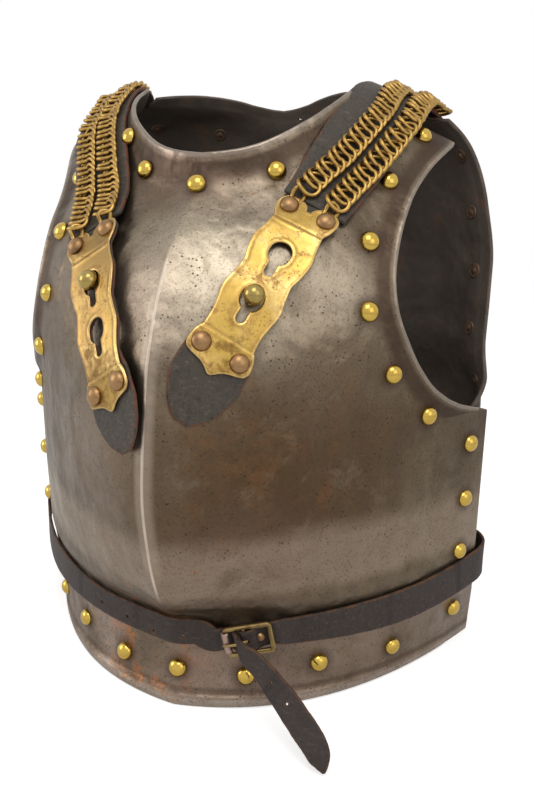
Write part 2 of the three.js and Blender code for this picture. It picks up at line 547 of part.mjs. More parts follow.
// One plate: a net of rows over a section surface, flared at its rims, mirrored, thickened and
// closed round its edges. side is -1 where the outside faces the front, 1 where the back.
function plateGeometry({ section, side, neck, arm, neckFlare, armFlare }) {
  const armLine = arm.map(([s, z]) => section(s, z));
  const neckLine = neck.map(([s, z]) => section(s, z));
  const neckFoot = neck[0][1];
  const armFoot = arm[0][1];
  const levels = FOOT_LEVEL_SHARES.map((share) => share * DOME_HEIGHT);
  const coveLevels = [...COVE_STEP_SHARES].reverse().map((share) => neckFoot - NECK_COVE * share);
  const ridge = [...levels.filter((z) => z < coveLevels[0] - RIM_BAND), ...coveLevels];
  const left = [...ridge.map((z) => [0, z]), ...neck.slice(1)];

  // Rows meet the side edge up to the arm's foot, and then the arm's rim.
  const sideRows = levels.filter((z) => z < armFoot * SIDE_ROW_SHARE).length;
  const right = [
    ...levels.slice(0, sideRows).map((z) => [1, z]),
    ...outlineCurve(arm, left.length - sideRows - 1),
  ];
  const outer = [];
  const depth = [];
  const rows = left.map((start, i) => {
    const end = right[i];
    const span = section(...start).distanceTo(section(...end));
    const a = COVE_STEP_SHARES.map((share) => (share * NECK_COVE) / span);
    const b = COVE_STEP_SHARES.map((share) => 1 - (share * ARM_COVE) / span).reverse();
    const fill = [];
    for (let k = 1; k < FIELD_STEPS; k += 1) fill.push(mix(a.at(-1), b[0], k / FIELD_STEPS));
    return [...a, ...fill, ...b].map((t) => {
      const s = mix(start[0], end[0], t);
      const z = mix(start[1], end[1], t);
      const point = section(s, z);
      const normal = normalOf(section, s, z, 1e-3, NORMAL_STEP).multiplyScalar(-side);
      const toNeck = distanceTo(point, neckLine);
      const toArm = distanceTo(point, armLine);
      const runout = ease((z - armFoot) / FLARE_RUNOUT);
      const bead =
        Math.max(0, 1 - ((2 * z) / BEAD_WIDTH - 1) ** 2) ** 0.5 *
        ease(((1 - s) * span) / BEAD_RUNOUT - 1);
      const rise =
        neckFlare * Math.max(0, 1 - toNeck / NECK_COVE) ** 2 +
        armFlare * Math.max(0, 1 - toArm / ARM_COVE) ** 2 * runout +
        BEAD_OUT * bead;
      const rim = Math.max(0, 1 - Math.min(toNeck, toArm) / RIM_BAND);
      outer.push(point.addScaledVector(normal, rise));
      depth.push(STEEL + RIM_EXTRA * rim + (BEAD_IN + BEAD_OUT) * bead);
      return outer.length - 1;
    });
  });

  // The mirrored half shares the points on the middle line.
  const halfCount = outer.length;
  const mirrored = outer.map((p, i) => (Math.abs(p.x) < NORMAL_STEP * 1e-3 ? i : -1));
  for (let i = 0; i < halfCount; i += 1)
    if (mirrored[i] === i) {
      outer[i].setX(0);
    } else {
      mirrored[i] = outer.length;
      outer.push(outer[i].clone().multiply(vector(-1, 1, 1)));
      depth.push(depth[i]);
    }
  const sheet = [];
  for (let i = 0; i + 1 < rows.length; i += 1)
    for (let j = 0; j + 1 < rows[i].length; j += 1) {
      const [a, b, c, d] = [rows[i][j], rows[i][j + 1], rows[i + 1][j + 1], rows[i + 1][j]];
      sheet.push([a, b, c], [a, c, d]);
      sheet.push([mirrored[a], mirrored[c], mirrored[b]], [mirrored[a], mirrored[d], mirrored[c]]);
    }
  if (side > 0) sheet.forEach((t) => t.reverse());

  const skin = new THREE.BufferGeometry();
  skin.setAttribute(
    "position",
    new THREE.Float32BufferAttribute(outer.flatMap((p) => [p.x, p.y, p.z]), 3),
  );
  skin.setIndex(sheet.flat());
  skin.computeVertexNormals();
  const normals = outer.map((p, i) => {
    const n = new THREE.Vector3().fromBufferAttribute(skin.attributes.normal, i);
    return p.z < 1e-6 ? n.setZ(0).normalize() : n;
  });
  const inner = outer.map((p, i) => p.clone().addScaledVector(normals[i], -depth[i]));

  // Edge points half way through the thickness stand out a little, for a rounded rim.
  const total = outer.length;
  const edges = new Map();
  for (const [a, b, c] of sheet)
    for (const [from, to] of [[a, b], [b, c], [c, a]]) edges.set(from + "," + to, [from, to]);
  const open = [...edges.values()].filter(([from, to]) => !edges.has(to + "," + from));
  const ways = new Map();
  for (const [from, to] of open)
    for (const i of [from, to]) {
      const way = outer[to].clone().sub(outer[from]).cross(normals[i]).normalize();
      ways.set(i, (ways.get(i) ?? new THREE.Vector3()).add(way));
    }
  const middle = new Map();
  const points = [...outer, ...inner];
  for (const [i, way] of ways) {
    const round = outer[i].z < 1e-6 ? 0 : depth[i] * RIM_ROUND_SHARE;
    middle.set(i, points.length);
    points.push(outer[i].clone().lerp(inner[i], 0.5).addScaledVector(way.normalize(), round));
  }
  const triangles = [...sheet, ...sheet.map(([a, b, c]) => [a + total, c + total, b + total])];
  for (const [from, to] of open) {
    const [f, t] = [middle.get(from), middle.get(to)];
    triangles.push([to, from, f], [to, f, t], [t, f, from + total], [t, from + total, to + total]);
  }
  return closedGeometry(points, triangles);
}

const scaled = (pairs) => pairs.map(([x, z]) => [x, z * DOME_HEIGHT]);
const onSection = ([x, z]) => [Math.min(1, (x * HALF_WIDTH) / halfWidth(z)), z];
const breastForm = {
  section: breastSection,
  side: -1,
  neck: outlineCurve(scaled(NECK_OUTLINE_SHARES), NECK_STEPS).map(onSection),
  arm: outlineCurve(scaled(ARM_OUTLINE_SHARES), ARM_STEPS).map(onSection),
  neckFlare: NECK_FLARE,
  armFlare: ARM_FLARE,
};
const backForm = {
  section: backSection,
  side: 1,
  neck: outlineCurve(scaled(BACK_NECK_SHARES), NECK_STEPS),
  arm: outlineCurve(scaled(BACK_ARM_SHARES), ARM_STEPS),
  neckFlare: BACK_FLARE,
  armFlare: BACK_FLARE,
};
const material = (finish) => new THREE.MeshStandardMaterial(finish);
const breastShell = new THREE.Mesh(plateGeometry(breastForm), material(BRIGHT_STEEL));
const backShell = new THREE.Mesh(plateGeometry(backForm), material(DARK_STEEL));

// Places on the plates

const raycaster = new THREE.Raycaster();
const CAST_REACH = HALF_WIDTH / 4;

// Height of a shell's outside over a point, along a direction.
function heightOver(shell, at, direction) {
  const from = at.clone().addScaledVector(direction, CAST_REACH);
  raycaster.set(from, direction.clone().negate());
  const hit = raycaster.intersectObject(shell)[0];
  return hit ? CAST_REACH - hit.distance : -CAST_REACH;
}

// Highest point of a shell under a strip of some half width.
const highestOver = (shell, at, across, normal, half) =>
  Math.max(
    ...[-1, -0.5, 0, 0.5, 1].map((w) =>
      heightOver(shell, at.clone().addScaledVector(across, w * half), normal),
    ),
  );

// A seat on a shell for a round piece: its place and its normal, clear of the steel all round.
function seatOn(shell, near, normal, radius) {
  const at = near.clone().addScaledVector(normal, heightOver(shell, near, normal));
  const first = vector(1, 0, 0).projectOnPlane(normal).normalize();
  const second = normal.clone().cross(first);
  const over = (turn) => {
    const out = first.clone().multiplyScalar(Math.cos(turn)).addScaledVector(second, Math.sin(turn));
    return heightOver(shell, at.clone().addScaledVector(out, radius), normal);
  };
  const ring = Array.from({ length: RIVET_SIDES }, (_, i) => over((2 * Math.PI * i) / RIVET_SIDES));
  const half = RIVET_SIDES / 2;
  const quarter = RIVET_SIDES / 4;
  const tilt = normal
    .clone()
    .addScaledVector(first, (ring[half] - ring[0]) / (2 * radius))
    .addScaledVector(second, (ring[half + quarter] - ring[quarter]) / (2 * radius))
    .normalize();
  const rise = ring.map((r, i) => (r + ring[(i + half) % RIVET_SIDES]) / 2);
  return { at: at.addScaledVector(tilt, Math.max(0, ...rise)), normal: tilt };
}
const breastSeat = (x, z, radius) =>
  seatOn(breastShell, breastPoint(x, z), breastNormal(x, z), radius);

const rivetProfile = (radius, height, grip) => [
  [0, -grip], [SHANK_RADIUS, -grip], [SHANK_RADIUS, SEAT_GAP], [radius, SEAT_GAP],
  [radius * 0.88, SEAT_GAP + height * 0.5], [radius * 0.48, SEAT_GAP + height * 0.9],
  [0, SEAT_GAP + height],
];
const holeCutter = (at, normal, reach) =>
  placed(
    turned([[0, -reach], [SHANK_RADIUS + HOLE_CLEARANCE, -reach],
      [SHANK_RADIUS + HOLE_CLEARANCE, reach], [0, reach]], RIVET_SIDES),
    at,
    normal,
  );

// Rivets of the breastplate

const holes = { breastplate: [], backplate: [] };
const bosses = [];
const mirroredNames = (name, x) => (x === 0 ? [[name, 1]] : [[name + "_left", 1], [name + "_right", -1]]);
for (const [key, [across, up]] of Object.entries(RIVET_SHARES))
  for (const [name, way] of mirroredNames(key, across)) {
    const seat = breastSeat(across * HALF_WIDTH * way, up * DOME_HEIGHT, RIVET_RADIUS);
    if (FUSED_RIVETS.includes(name) || FLUSH_RIVETS.includes(name)) {
      const height = RIVET_HEIGHT * (FLUSH_RIVETS.includes(name) ? FLUSH_SHARE : 1);
      const dome = rivetProfile(RIVET_RADIUS, height, STEEL * 0.6);
      dome[2][1] = -FUSED_SINK;
      dome[3][1] = -FUSED_SINK;
      bosses.push(placed(turned(dome, RIVET_SIDES), seat.at, seat.normal));
      continue;
    }
    const shape = rivetProfile(RIVET_RADIUS, RIVET_HEIGHT, STEEL + SHANK_END);
    addPiece("rivet_" + name, placed(turned(shape, RIVET_SIDES), seat.at, seat.normal), RIVET_BRASS);
    holes.breastplate.push(holeCutter(seat.at, seat.normal, RIVET_RADIUS));
  }

// Studs

const studs = { left: 1, right: -1 };
for (const [name, way] of Object.entries(studs)) {
  const [x, z] = [STUD_SHARES[name][0] * HALF_WIDTH * way, STUD_SHARES[name][1] * DOME_HEIGHT];
  const seat = breastSeat(x, z, STUD_FOOT_RADIUS);
  const neckTop = BALL_RISE - BALL_RADIUS * 0.87;
  const shape = [
    [0, -STEEL - SHANK_END], [SHANK_RADIUS, -STEEL - SHANK_END], [SHANK_RADIUS, SEAT_GAP],
    [STUD_FOOT_RADIUS, SEAT_GAP], [STUD_FOOT_RADIUS, SEAT_GAP + STUD_FOOT],
    [STUD_NECK_RADIUS, SEAT_GAP + STUD_FOOT * 1.5], [STUD_NECK_RADIUS, neckTop],
  ];
  for (let k = -50; k < 90; k += 20) {
    const turn = (k * Math.PI) / 180;
    shape.push([BALL_RADIUS * Math.cos(turn), BALL_RISE + BALL_RADIUS * Math.sin(turn)]);
  }
  shape.push([0, BALL_RISE + BALL_RADIUS]);
  addPiece("stud_" + name, placed(turned(shape, STUD_SIDES), seat.at, seat.normal), OLIVE_BRASS);
  holes.breastplate.push(holeCutter(seat.at, seat.normal, RIVET_RADIUS));
}

// Keyhole plates

const plateEdgeAt = profile(PLATE_EDGE_SHARES);
const tabEdgeAt = profile(TAB_EDGE_SHARES);

// A line down the breast through a stud: a place, an across and a normal for any distance
// along it, counted from the plate's top rivets.
function plateLine(way, place, lean, studOffset) {
  const stud = [place[0] * HALF_WIDTH * way, place[1] * DOME_HEIGHT];
  const pointAt = (t) => breastPoint(stud[0] - lean * way * t, stud[1] - t);
  const marks = [];
  const low = -PLATE_TIP;
  let run = 0;
  for (let t = low; t <= LINE_STEP - low; t += LINE_STEP) {
    if (t > low) run += pointAt(t).distanceTo(pointAt(t - LINE_STEP));
    marks.push([run, t]);
  }
  const start = profile(marks.map(([r, t]) => [t, r]))(0) - studOffset;
  const fallAt = profile(marks.map(([r, t]) => [r - start, t]));
  return (u) => {
    const t = fallAt(u);
    const at = pointAt(t);
    const along = pointAt(t + LINE_STEP).sub(pointAt(t - LINE_STEP)).normalize();
    const normal = breastNormal(at.x, at.z);
    const across = normal.clone().cross(along).normalize();
    return { at, along, across, normal: along.clone().cross(across) };
  };
}

const circle = (x, y, radius, from, to, steps) =>
  Array.from({ length: steps + 1 }, (_, i) => {
    const turn = mix(from, to, i / steps);
    return new THREE.Vector2(x + radius * Math.cos(turn), y + radius * Math.sin(turn));
  });

// A keyhole's outline about its round part's centre: a round opening, and a slot further down.
function keyholeOutline(extra) {
  const round = KEYHOLE_RADIUS + extra;
  const slot = SLOT_RADIUS + extra;
  const meet = Math.acos(slot / round);
  return [
    ...circle(0, KEYHOLE_STRETCH, round, meet, 0, 2),
    ...circle(0, 0, round, 0, -Math.PI, 8),
    ...circle(0, KEYHOLE_STRETCH, round, Math.PI, Math.PI - meet, 2),
    ...circle(0, SLOT_RUN, slot, Math.PI, 0, 5),
  ];
}

const plateFrames = {};
for (const [name, way] of Object.entries(studs)) {
  const line = plateLine(way, STUD_SHARES[name], PLATE_LEAN_SHARES[name], PLATE_STUD_OFFSETS[name]);
  const rise = (frame) =>
    highestOver(breastShell, frame.at, frame.across, frame.normal, PLATE_EDGE) +
    PLATE_STANDS[name];
  const stations = (to, halfAt, low, high) => {
    const steps = Math.round((to + PLATE_TOP) / PLATE_PITCH);
    return Array.from({ length: steps + 1 }, (_, i) => {
      const u = Math.min(to, i * PLATE_PITCH - PLATE_TOP);
      const frame = line(u);
      const [half, lift] = [halfAt(u), rise(frame)];
      return { ...frame, left: half, right: half, low: lift + low, high: lift + high };
    });
  };
  const plateHalf = (u) => PLATE_EDGE * plateEdgeAt(u / PLATE_TIP);
  const tabHalf = (u) =>
    u < TAB_START_SHARE * PLATE_TIP
      ? plateHalf(u) - LINING_INSET
      : PLATE_EDGE * tabEdgeAt(u / PLATE_TIP);
  const brassLow = LINING + BRASS_SEAT;
  const brass = stations(PLATE_TIP, plateHalf, brassLow, brassLow + BRASS);
  const lining = stations(LINING_TIPS[name], tabHalf, 0, LINING);
  const brassCuts = [];
  const liningCuts = [];
  const through = (outline, frame) =>
    prism(outline, frame.at, frame.across, frame.along, -CUT_REACH, CUT_REACH);
  for (const u of KEYHOLES) {
    brassCuts.push(through(keyholeOutline(0), line(u)));
    liningCuts.push(through(keyholeOutline(LINING_HOLE_EXTRA), line(u)));
  }
  const top = line(-PLATE_TOP);
  const notch = circle(0, 0, 1, 0, 2 * Math.PI, 12).slice(1);
  notch.forEach((p) => p.multiply(new THREE.Vector2(NOTCH_HALF_WIDTH, NOTCH_DEPTH)));
  brassCuts.push(through(notch, top));
  const pieceRivets = [];
  for (const [row, u] of Object.entries({ upper: 0, lower: RIVET_ROW }))
    for (const [place, w] of Object.entries({ inner: -way, outer: way })) {
      const frame = line(u);
      const at = frame.at
        .clone()
        .addScaledVector(frame.across, w * PLATE_RIVET_SPREAD)
        .addScaledVector(frame.normal, rise(frame) + brassLow + BRASS + HEAD_GAP);
      const grip = BRASS + BRASS_SEAT + LINING;
      const shape = rivetProfile(PLATE_RIVET_RADIUS, PLATE_RIVET_HEIGHT, grip);
      const cutter = holeCutter(at, frame.normal, CUT_REACH);
      pieceRivets.push(["plate_rivet_" + name + "_" + row + "_" + place, shape, at, frame.normal]);
      brassCuts.push(cutter);
      liningCuts.push(cutter);
    }
  addPiece("keyhole_plate_" + name, cutFrom(band(brass), brassCuts), GOLD);
  addPiece("plate_lining_" + name, cutFrom(band(lining), liningCuts), LEATHER);
  for (const [piece, shape, at, normal] of pieceRivets)
    addPiece(piece, placed(turned(shape, RIVET_SIDES), at, normal), COPPERY);
  plateFrames[name] = { ...top, lift: rise(top) };
}

// Shoulder straps and chains

for (const [name, way] of Object.entries(studs)) {
  const start = plateFrames[name];
  const crossing = STRAP_CROSSING_SHARES[name] * HALF_WIDTH * way;
  const first = start.at.clone().addScaledVector(start.along, -STRAP_END_GAP);
  const knots = [
    { at: first.clone().addScaledVector(start.normal, start.lift), normal: start.normal },
  ];
  const lay = (shell, at, normal, across) => {
    const over = highestOver(shell, at, across, normal, STRAP_HALF_WIDTH);
    const lift = over + SEAT_GAP + STRAP_SLACK;
    knots.push({ at: at.clone().addScaledVector(normal, lift), normal });
  };
  const edge = STRAP_EDGE_SHARE * DOME_HEIGHT;
  for (const t of STRAP_CLIMB_SHARES) {
    const [x, z] = [mix(first.x, crossing, t), mix(first.z, edge, t)];
    const normal = breastNormal(x, z);
    const climb = vector(crossing - first.x, 0, edge - first.z).projectOnPlane(normal);
    lay(breastShell, breastPoint(x, z), normal, climb.normalize().cross(normal));
  }
  const crestNormal = vector(way * STRAP_TILT_SHARE, 0, 1).normalize();
  const crestHeight = STRAP_CREST_HEIGHT_SHARES[name] * DOME_HEIGHT;
  const crest = vector(crossing, SHOULDER_DEPTH * STRAP_CREST_SHARE, crestHeight);
  knots.push({ at: crest, normal: crestNormal });
  for (const [s, up] of STRAP_REAR_SHARES) {
    const mirror = vector(way, 1, 1);
    const at = backSection(s, up * DOME_HEIGHT).multiply(mirror);
    const normal = normalOf(backSection, s, up * DOME_HEIGHT, 1e-3, NORMAL_STEP)
      .negate()
      .multiply(mirror);
    const across = vector(way, 0, -STRAP_TILT_SHARE * way).projectOnPlane(normal).normalize();
    lay(backShell, at, normal, across);
  }
  const path = new THREE.CatmullRomCurve3(knots.map((k) => k.at), false, "centripetal");
  const lean = new THREE.CatmullRomCurve3(knots.map((k) => k.normal), false, "centripetal");
  const frames = Array.from({ length: STRAP_STEPS + 1 }, (_, i) => {
    const t = i / STRAP_STEPS;
    const along = path.getTangent(t);
    const across = along.clone().cross(lean.getPoint(t)).normalize();
    return { at: path.getPoint(t), along, across, normal: across.clone().cross(along) };
  });
  const frameAt = (t) => {
    const k = Math.min(STRAP_STEPS - 1, Math.floor(t * STRAP_STEPS));
    const part = t * STRAP_STEPS - k;
    const between = (key) => frames[k][key].clone().lerp(frames[k + 1][key], part);
    return {
      at: between("at"),
      across: between("across").normalize(),
      normal: between("normal").normalize(),
    };
  };
  const strap = frames.map((frame) => ({
    ...frame,
    left: STRAP_HALF_WIDTH,
    right: STRAP_HALF_WIDTH,
    low: 0,
    high: STRAP_LEATHER,
  }));

  // Each chain is a ribbed band, one rib to a ring.
  const length = path.getLength();
  const from = CHAIN_GAP / length;
  const shiftAt = profile(CHAIN_SHIFT_SHARES[name]);
  const spreadAt = profile(CHAIN_SPREAD_SHARES);
  const rings = Math.round((length * (CHAIN_END_SHARE - from)) / RING_PITCH);
  for (const [place, side] of Object.entries({ inner: -way, outer: way })) {
    const ribs = Array.from({ length: 2 * rings + 1 }, (_, i) => {
      const t = mix(from, CHAIN_END_SHARE, i / (2 * rings));
      const frame = frameAt(t);
      const full = i % 2 === 1;
      const half = CHAIN_HALF_WIDTH * (full ? 1 : RING_WAIST_SHARE);
      const shift = side * CHAIN_SPREAD * spreadAt(t) + way * CHAIN_SHIFT[name] * shiftAt(t);
      frame.at.addScaledVector(frame.across, shift);
      const low = STRAP_LEATHER + CHAIN_SEAT;
      const high = low + CHAIN_THICKNESS * (full ? 1 : RING_DIP_SHARE);
      return { ...frame, left: half, right: half, low, high };
    });
    addPiece("chain_" + name + "_" + place, band(ribs), OLD_BRASS);
  }
  const anchor = frameAt(ANCHOR_SHARE);
  anchor.at.addScaledVector(anchor.across, way * CHAIN_SHIFT[name] * ANCHOR_SHIFT_SHARE);
  const seat = anchor.at.clone().addScaledVector(anchor.normal, STRAP_LEATHER);
  const drop = heightOver(backShell, seat, anchor.normal);
  const shape = rivetProfile(PLATE_RIVET_RADIUS, PLATE_RIVET_HEIGHT, STEEL + SHANK_END - drop);
  addPiece("anchor_rivet_" + name, placed(turned(shape, RIVET_SIDES), seat, anchor.normal), COPPERY);
  const cutter = holeCutter(seat, anchor.normal, CUT_REACH * 2);
  holes.backplate.push(cutter);
  addPiece("shoulder_strap_" + name, cutFrom(band(strap), [cutter]), LEATHER);
}

// Waist belt

const beltHeightAt = profile(BELT_SHARES.map(([x, z]) => [x, z]));
const beltHalfAt = profile(BELT_SHARES.map(([x, , half]) => [x, half * BELT_HALF_WIDTH]));

// A place of the belt's middle line against the breastplate, as far out as it needs to be.
function beltPoint(x) {
  const share = Math.abs(x) / HALF_WIDTH;
  const z = beltHeightAt(share) * DOME_HEIGHT;
  const normal = breastNormal(x, z).setZ(0).normalize();
  const at = breastPoint(x, z);
  const over = highestOver(breastShell, at, UP, normal, beltHalfAt(share));
  return at.addScaledVector(normal, over + SEAT_GAP + BELT_SLACK);
}

// The buckle's own frame: along the belt, up the bars, and out
const buckleOut = vector(...BUCKLE_OUT).normalize();
const buckleAlong = vector(...BUCKLE_ALONG).projectOnPlane(buckleOut).normalize();
const buckleUp = buckleOut.clone().cross(buckleAlong);
const buckleAt = vector(
  BUCKLE_PLACE_SHARES[0] * HALF_WIDTH,
  -BUCKLE_PLACE_SHARES[1] * RIDGE_DEPTH,
  BUCKLE_PLACE_SHARES[2] * DOME_HEIGHT,
);
const buckleBasis = new THREE.Matrix4()
  .makeBasis(buckleAlong, buckleUp, buckleOut)
  .setPosition(buckleAt);
const inBuckle = (x, y, n) => vector(x, y, n).applyMatrix4(buckleBasis);

// Stations of a strap that runs in the buckle: local places, half widths and thicknesses
const buckleStations = (rows) =>
  rows.map(([x, n, half, thick]) => ({
    at: inBuckle(x * BUCKLE_LENGTH, 0, n * BUCKLE_LENGTH),
    half: half * BUCKLE_LENGTH,
    thick: thick * TONGUE_THICKNESS,
    across: buckleUp,
  }));
const sideStations = (way) =>
  BELT_SIDE_SHARES.map(([x, y, z, share]) => {
    const at = vector(way * x * HALF_WIDTH, y * SEAM_DEPTH, z * DOME_HEIGHT);
    const half = share * BELT_HALF_WIDTH;
    const normal = vector(way, y > 1 ? BELT_RIVET_TURN_SHARE : 0, 0).normalize();
    const over = [breastShell, backShell].map((shell) => highestOver(shell, at, UP, normal, half));
    at.addScaledVector(normal, Math.max(0, Math.max(...over) + BELT / 2 + SEAT_GAP));
    return { at, half, thick: BELT, across: UP };
  });
const frontStations = (way, from) =>
  BELT_STATION_SHARES.filter((s) => s >= from).map((s) => {
    const x = s * HALF_WIDTH * way;
    const at = beltPoint(x);
    const normal = breastNormal(x, at.z).setZ(0).normalize();
    at.addScaledVector(normal, BELT / 2);
    return { at, half: beltHalfAt(s), thick: BELT, across: UP };
  });
function strapGeometry(stations) {
  const last = stations.length - 1;
  return band(
    stations.map(({ at, half, thick, across }, i) => {
      const along = stations[Math.min(last, i + 1)].at.clone().sub(stations[Math.max(0, i - 1)].at);
      const side = across.clone().projectOnPlane(along.normalize()).normalize();
      const normal = along.clone().cross(side).normalize();
      return { at, across: side, normal, left: half, right: half, low: -thick / 2, high: thick / 2 };
    }),
  );
}
const inBuckleBox = (x1, x2, y, n1, n2) =>
  new THREE.BoxGeometry(x2 - x1, 2 * y, n2 - n1)
    .translate((x1 + x2) / 2, 0, (n1 + n2) / 2)
    .scale(BUCKLE_LENGTH, BUCKLE_LENGTH, BUCKLE_LENGTH)
    .applyMatrix4(buckleBasis);

const prongSlot = inBuckleBox(...PRONG_SLOT_SHARES);
const wearersRight = [
  ...sideStations(-1).reverse(),
  ...frontStations(-1, 0).reverse(),
  ...frontStations(1, BELT_STATION_SHARES[1]).filter((s) => s.at.x < BELT_END),
  ...buckleStations(TONGUE_RISE_SHARES),
];
const wearersLeft = [
  ...buckleStations(BELT_LOOP_SHARES),
  ...frontStations(1, BELT_START_SHARE),
  ...sideStations(1),
];
const [foldAlong, foldOut] = FOLD_RIVET_SHARES.map((share) => share * BUCKLE_LENGTH);
const foldAt = inBuckle(foldAlong, 0, foldOut);
const foldShape = [
  [0, -FOLD_GRIP], [FOLD_RIVET_RADIUS * 0.45, -FOLD_GRIP], [FOLD_RIVET_RADIUS * 0.45, SEAT_GAP],
  [FOLD_RIVET_RADIUS, SEAT_GAP], [FOLD_RIVET_RADIUS * 0.7, SEAT_GAP + FOLD_RIVET_RADIUS * 0.4],
  [0, SEAT_GAP + FOLD_RIVET_RADIUS * 0.55],
];
const foldNormal = vector(...FOLD_TILT).transformDirection(buckleBasis);
const foldCut = placed(
  turned([[0, -CUT_REACH], [FOLD_RIVET_RADIUS * 0.45 + RUNNING_GAP, -CUT_REACH],
    [FOLD_RIVET_RADIUS * 0.45 + RUNNING_GAP, CUT_REACH], [0, CUT_REACH]], RIVET_SIDES),
  foldAt,
  foldNormal,
);
const beltCuts = { right: [prongSlot], left: [inBuckleBox(...LOOP_SLOT_SHARES), foldCut] };

// A rivet fastens each belt piece to the backplate behind the seam.
const beltBodies = {
  right: new THREE.Mesh(strapGeometry(wearersRight), material(BELT_LEATHER)),
  left: new THREE.Mesh(strapGeometry(wearersLeft), material(BELT_LEATHER)),
};
for (const [name, way] of Object.entries(studs)) {
  const [x, y, z] = BELT_RIVET_SHARES;
  const place = vector(way * x * HALF_WIDTH, y * SEAM_DEPTH, z * DOME_HEIGHT);
  const normal = vector(way, BELT_RIVET_TURN_SHARE, 0).normalize();
  const { at } = seatOn(beltBodies[name], place, normal, BELT_RIVET_RADIUS);
  at.addScaledVector(normal, BELT_RIVET_LIFT);
  const grip = STEEL + SHANK_END - heightOver(backShell, at, normal);
  const shape = rivetProfile(BELT_RIVET_RADIUS, PLATE_RIVET_HEIGHT, grip);
  addPiece("belt_rivet_" + name, placed(turned(shape, RIVET_SIDES), at, normal), OLD_BRASS);
  const cutter = holeCutter(at, normal, 2 * grip);
  beltCuts[name].push(cutter);
  holes.backplate.push(cutter);
}
for (const [name, body] of Object.entries(beltBodies))
  addPiece("belt_" + name, cutFrom(body.geometry, beltCuts[name]), BELT_LEATHER);
addPiece("belt_fold_rivet", placed(turned(foldShape, RIVET_SIDES), foldAt, foldNormal), OLD_BRASS);

// The tongue hangs free of the buckle, turning from upright to flat as it falls.
const tongueEnd = vector(...TONGUE_END_ACROSS).normalize();
const tonguePlaces = [
  ...TONGUE_START_SHARES.map(([x, y, n, half]) => [
    inBuckle(x * BUCKLE_LENGTH, y * BUCKLE_LENGTH, n * BUCKLE_LENGTH),
    half,
  ]),
  ...TONGUE_FALL_SHARES.map(([x, y, z, half]) => [
    vector(x * HALF_WIDTH, -y * RIDGE_DEPTH, z * DOME_HEIGHT),
    half,
  ]),
];
const tongue = tonguePlaces.map(([at, half], i) => {
  const turn = ease(i / (tonguePlaces.length - 2));
  const across = buckleUp.clone().lerp(tongueEnd, turn);
  return { at, half: half * TONGUE_HALF_WIDTH, thick: TONGUE_THICKNESS, across };
});
const tongueBody = strapGeometry(tongue);
const punches = TONGUE_PUNCH_SHARES.map((share) => {
  const place = share * (tongue.length - 1);
  const i = Math.floor(place);
  const part = place - i;
  const [a, b] = [tongue[i], tongue[i + 1]];
  const at = a.at.clone().lerp(b.at, part);
  const along = b.at.clone().sub(a.at).normalize();
  const across = a.across.clone().lerp(b.across, part).projectOnPlane(along).normalize();
  const outline = circle(0, 0, PUNCH_RADIUS, 0, 2 * Math.PI, RIVET_SIDES).slice(1);
  return prism(outline, at, across, along, -CUT_REACH, CUT_REACH);
});
addPiece("belt_tongue", cutFrom(tongueBody, punches), BELT_LEATHER);

// Buckle

const barX = -(BUCKLE_LENGTH - BUCKLE_BAR) / 2;
const endY = BUCKLE_HEIGHT / 2;
const insideY = endY - BUCKLE_BAR;
const box = (x1, x2, y1, y2) =>
  new THREE.BoxGeometry(x2 - x1, y2 - y1, BUCKLE_BAR * 0.95).translate(
    (x1 + x2) / 2,
    (y1 + y2) / 2,
    0,
  );
const rod = (x, radius, half) =>
  new THREE.CylinderGeometry(radius, radius, 2 * half, ROD_SIDES).translate(x, 0, 0);
const tube = (x, inner, outer, half) => {
  const ring = [[inner, -half], [outer, -half], [outer, half], [inner, half], [inner, -half]];
  return new THREE.LatheGeometry(
    ring.map(([r, h]) => new THREE.Vector2(r, h)),
    ROD_SIDES,
  ).translate(x, 0, 0);
};
const frame = joined([
  box(barX, BUCKLE_LENGTH / 2, insideY, endY),
  box(barX, BUCKLE_LENGTH / 2, -endY, -insideY),
  box(-barX - BUCKLE_BAR / 2, -barX + BUCKLE_BAR / 2, -endY, endY),
  rod(barX, LEFT_BAR_RADIUS, endY - SEAT_GAP),
  rod(CENTRE_BAR_SHIFT, CENTRE_BAR_RADIUS, insideY + BUCKLE_BAR / 2),
]);
addPiece("buckle_frame", frame.applyMatrix4(buckleBasis), OLD_BRASS);
const roller = tube(barX, ROLLER_RADIUS - ROLLER_WALL, ROLLER_RADIUS, insideY - RUNNING_GAP);
addPiece("buckle_roller", roller.applyMatrix4(buckleBasis), OLD_BRASS);
const prongRing = tube(
  CENTRE_BAR_SHIFT,
  CENTRE_BAR_RADIUS + RUNNING_GAP,
  PRONG_RING_RADIUS,
  PRONG_HALF_WIDTH * 1.2,
);
const prongArm = band(
  PRONG_ARM_SHARES.map(([x, low, high, half]) => ({
    at: vector(x * BUCKLE_LENGTH, 0, 0),
    across: vector(0, 1, 0),
    normal: vector(0, 0, 1),
    left: half * PRONG_HALF_WIDTH,
    right: half * PRONG_HALF_WIDTH,
    low: low * BUCKLE_LENGTH,
    high: high * BUCKLE_LENGTH,
  })),
);
addPiece("buckle_prong", joined([prongRing, prongArm]).applyMatrix4(buckleBasis), OLD_BRASS);

root.add(breastShell, backShell);
breastShell.name = "breastplate";
backShell.name = "backplate";
breastShell.geometry = joined([cutFrom(breastShell.geometry, holes.breastplate), ...bosses]);
backShell.geometry = cutFrom(backShell.geometry, holes.backplate);

// The part stands on z = 0 with its middle over the origin.
const bounds = new THREE.Box3().setFromObject(root, true);
for (const piece of root.children)
  piece.geometry.translate(-(bounds.min.x + bounds.max.x) / 2, -(bounds.min.y + bounds.max.y) / 2, 0);

export default root;
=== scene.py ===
"""Cuirass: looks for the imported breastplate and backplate, straps, chains, belt and buckle."""

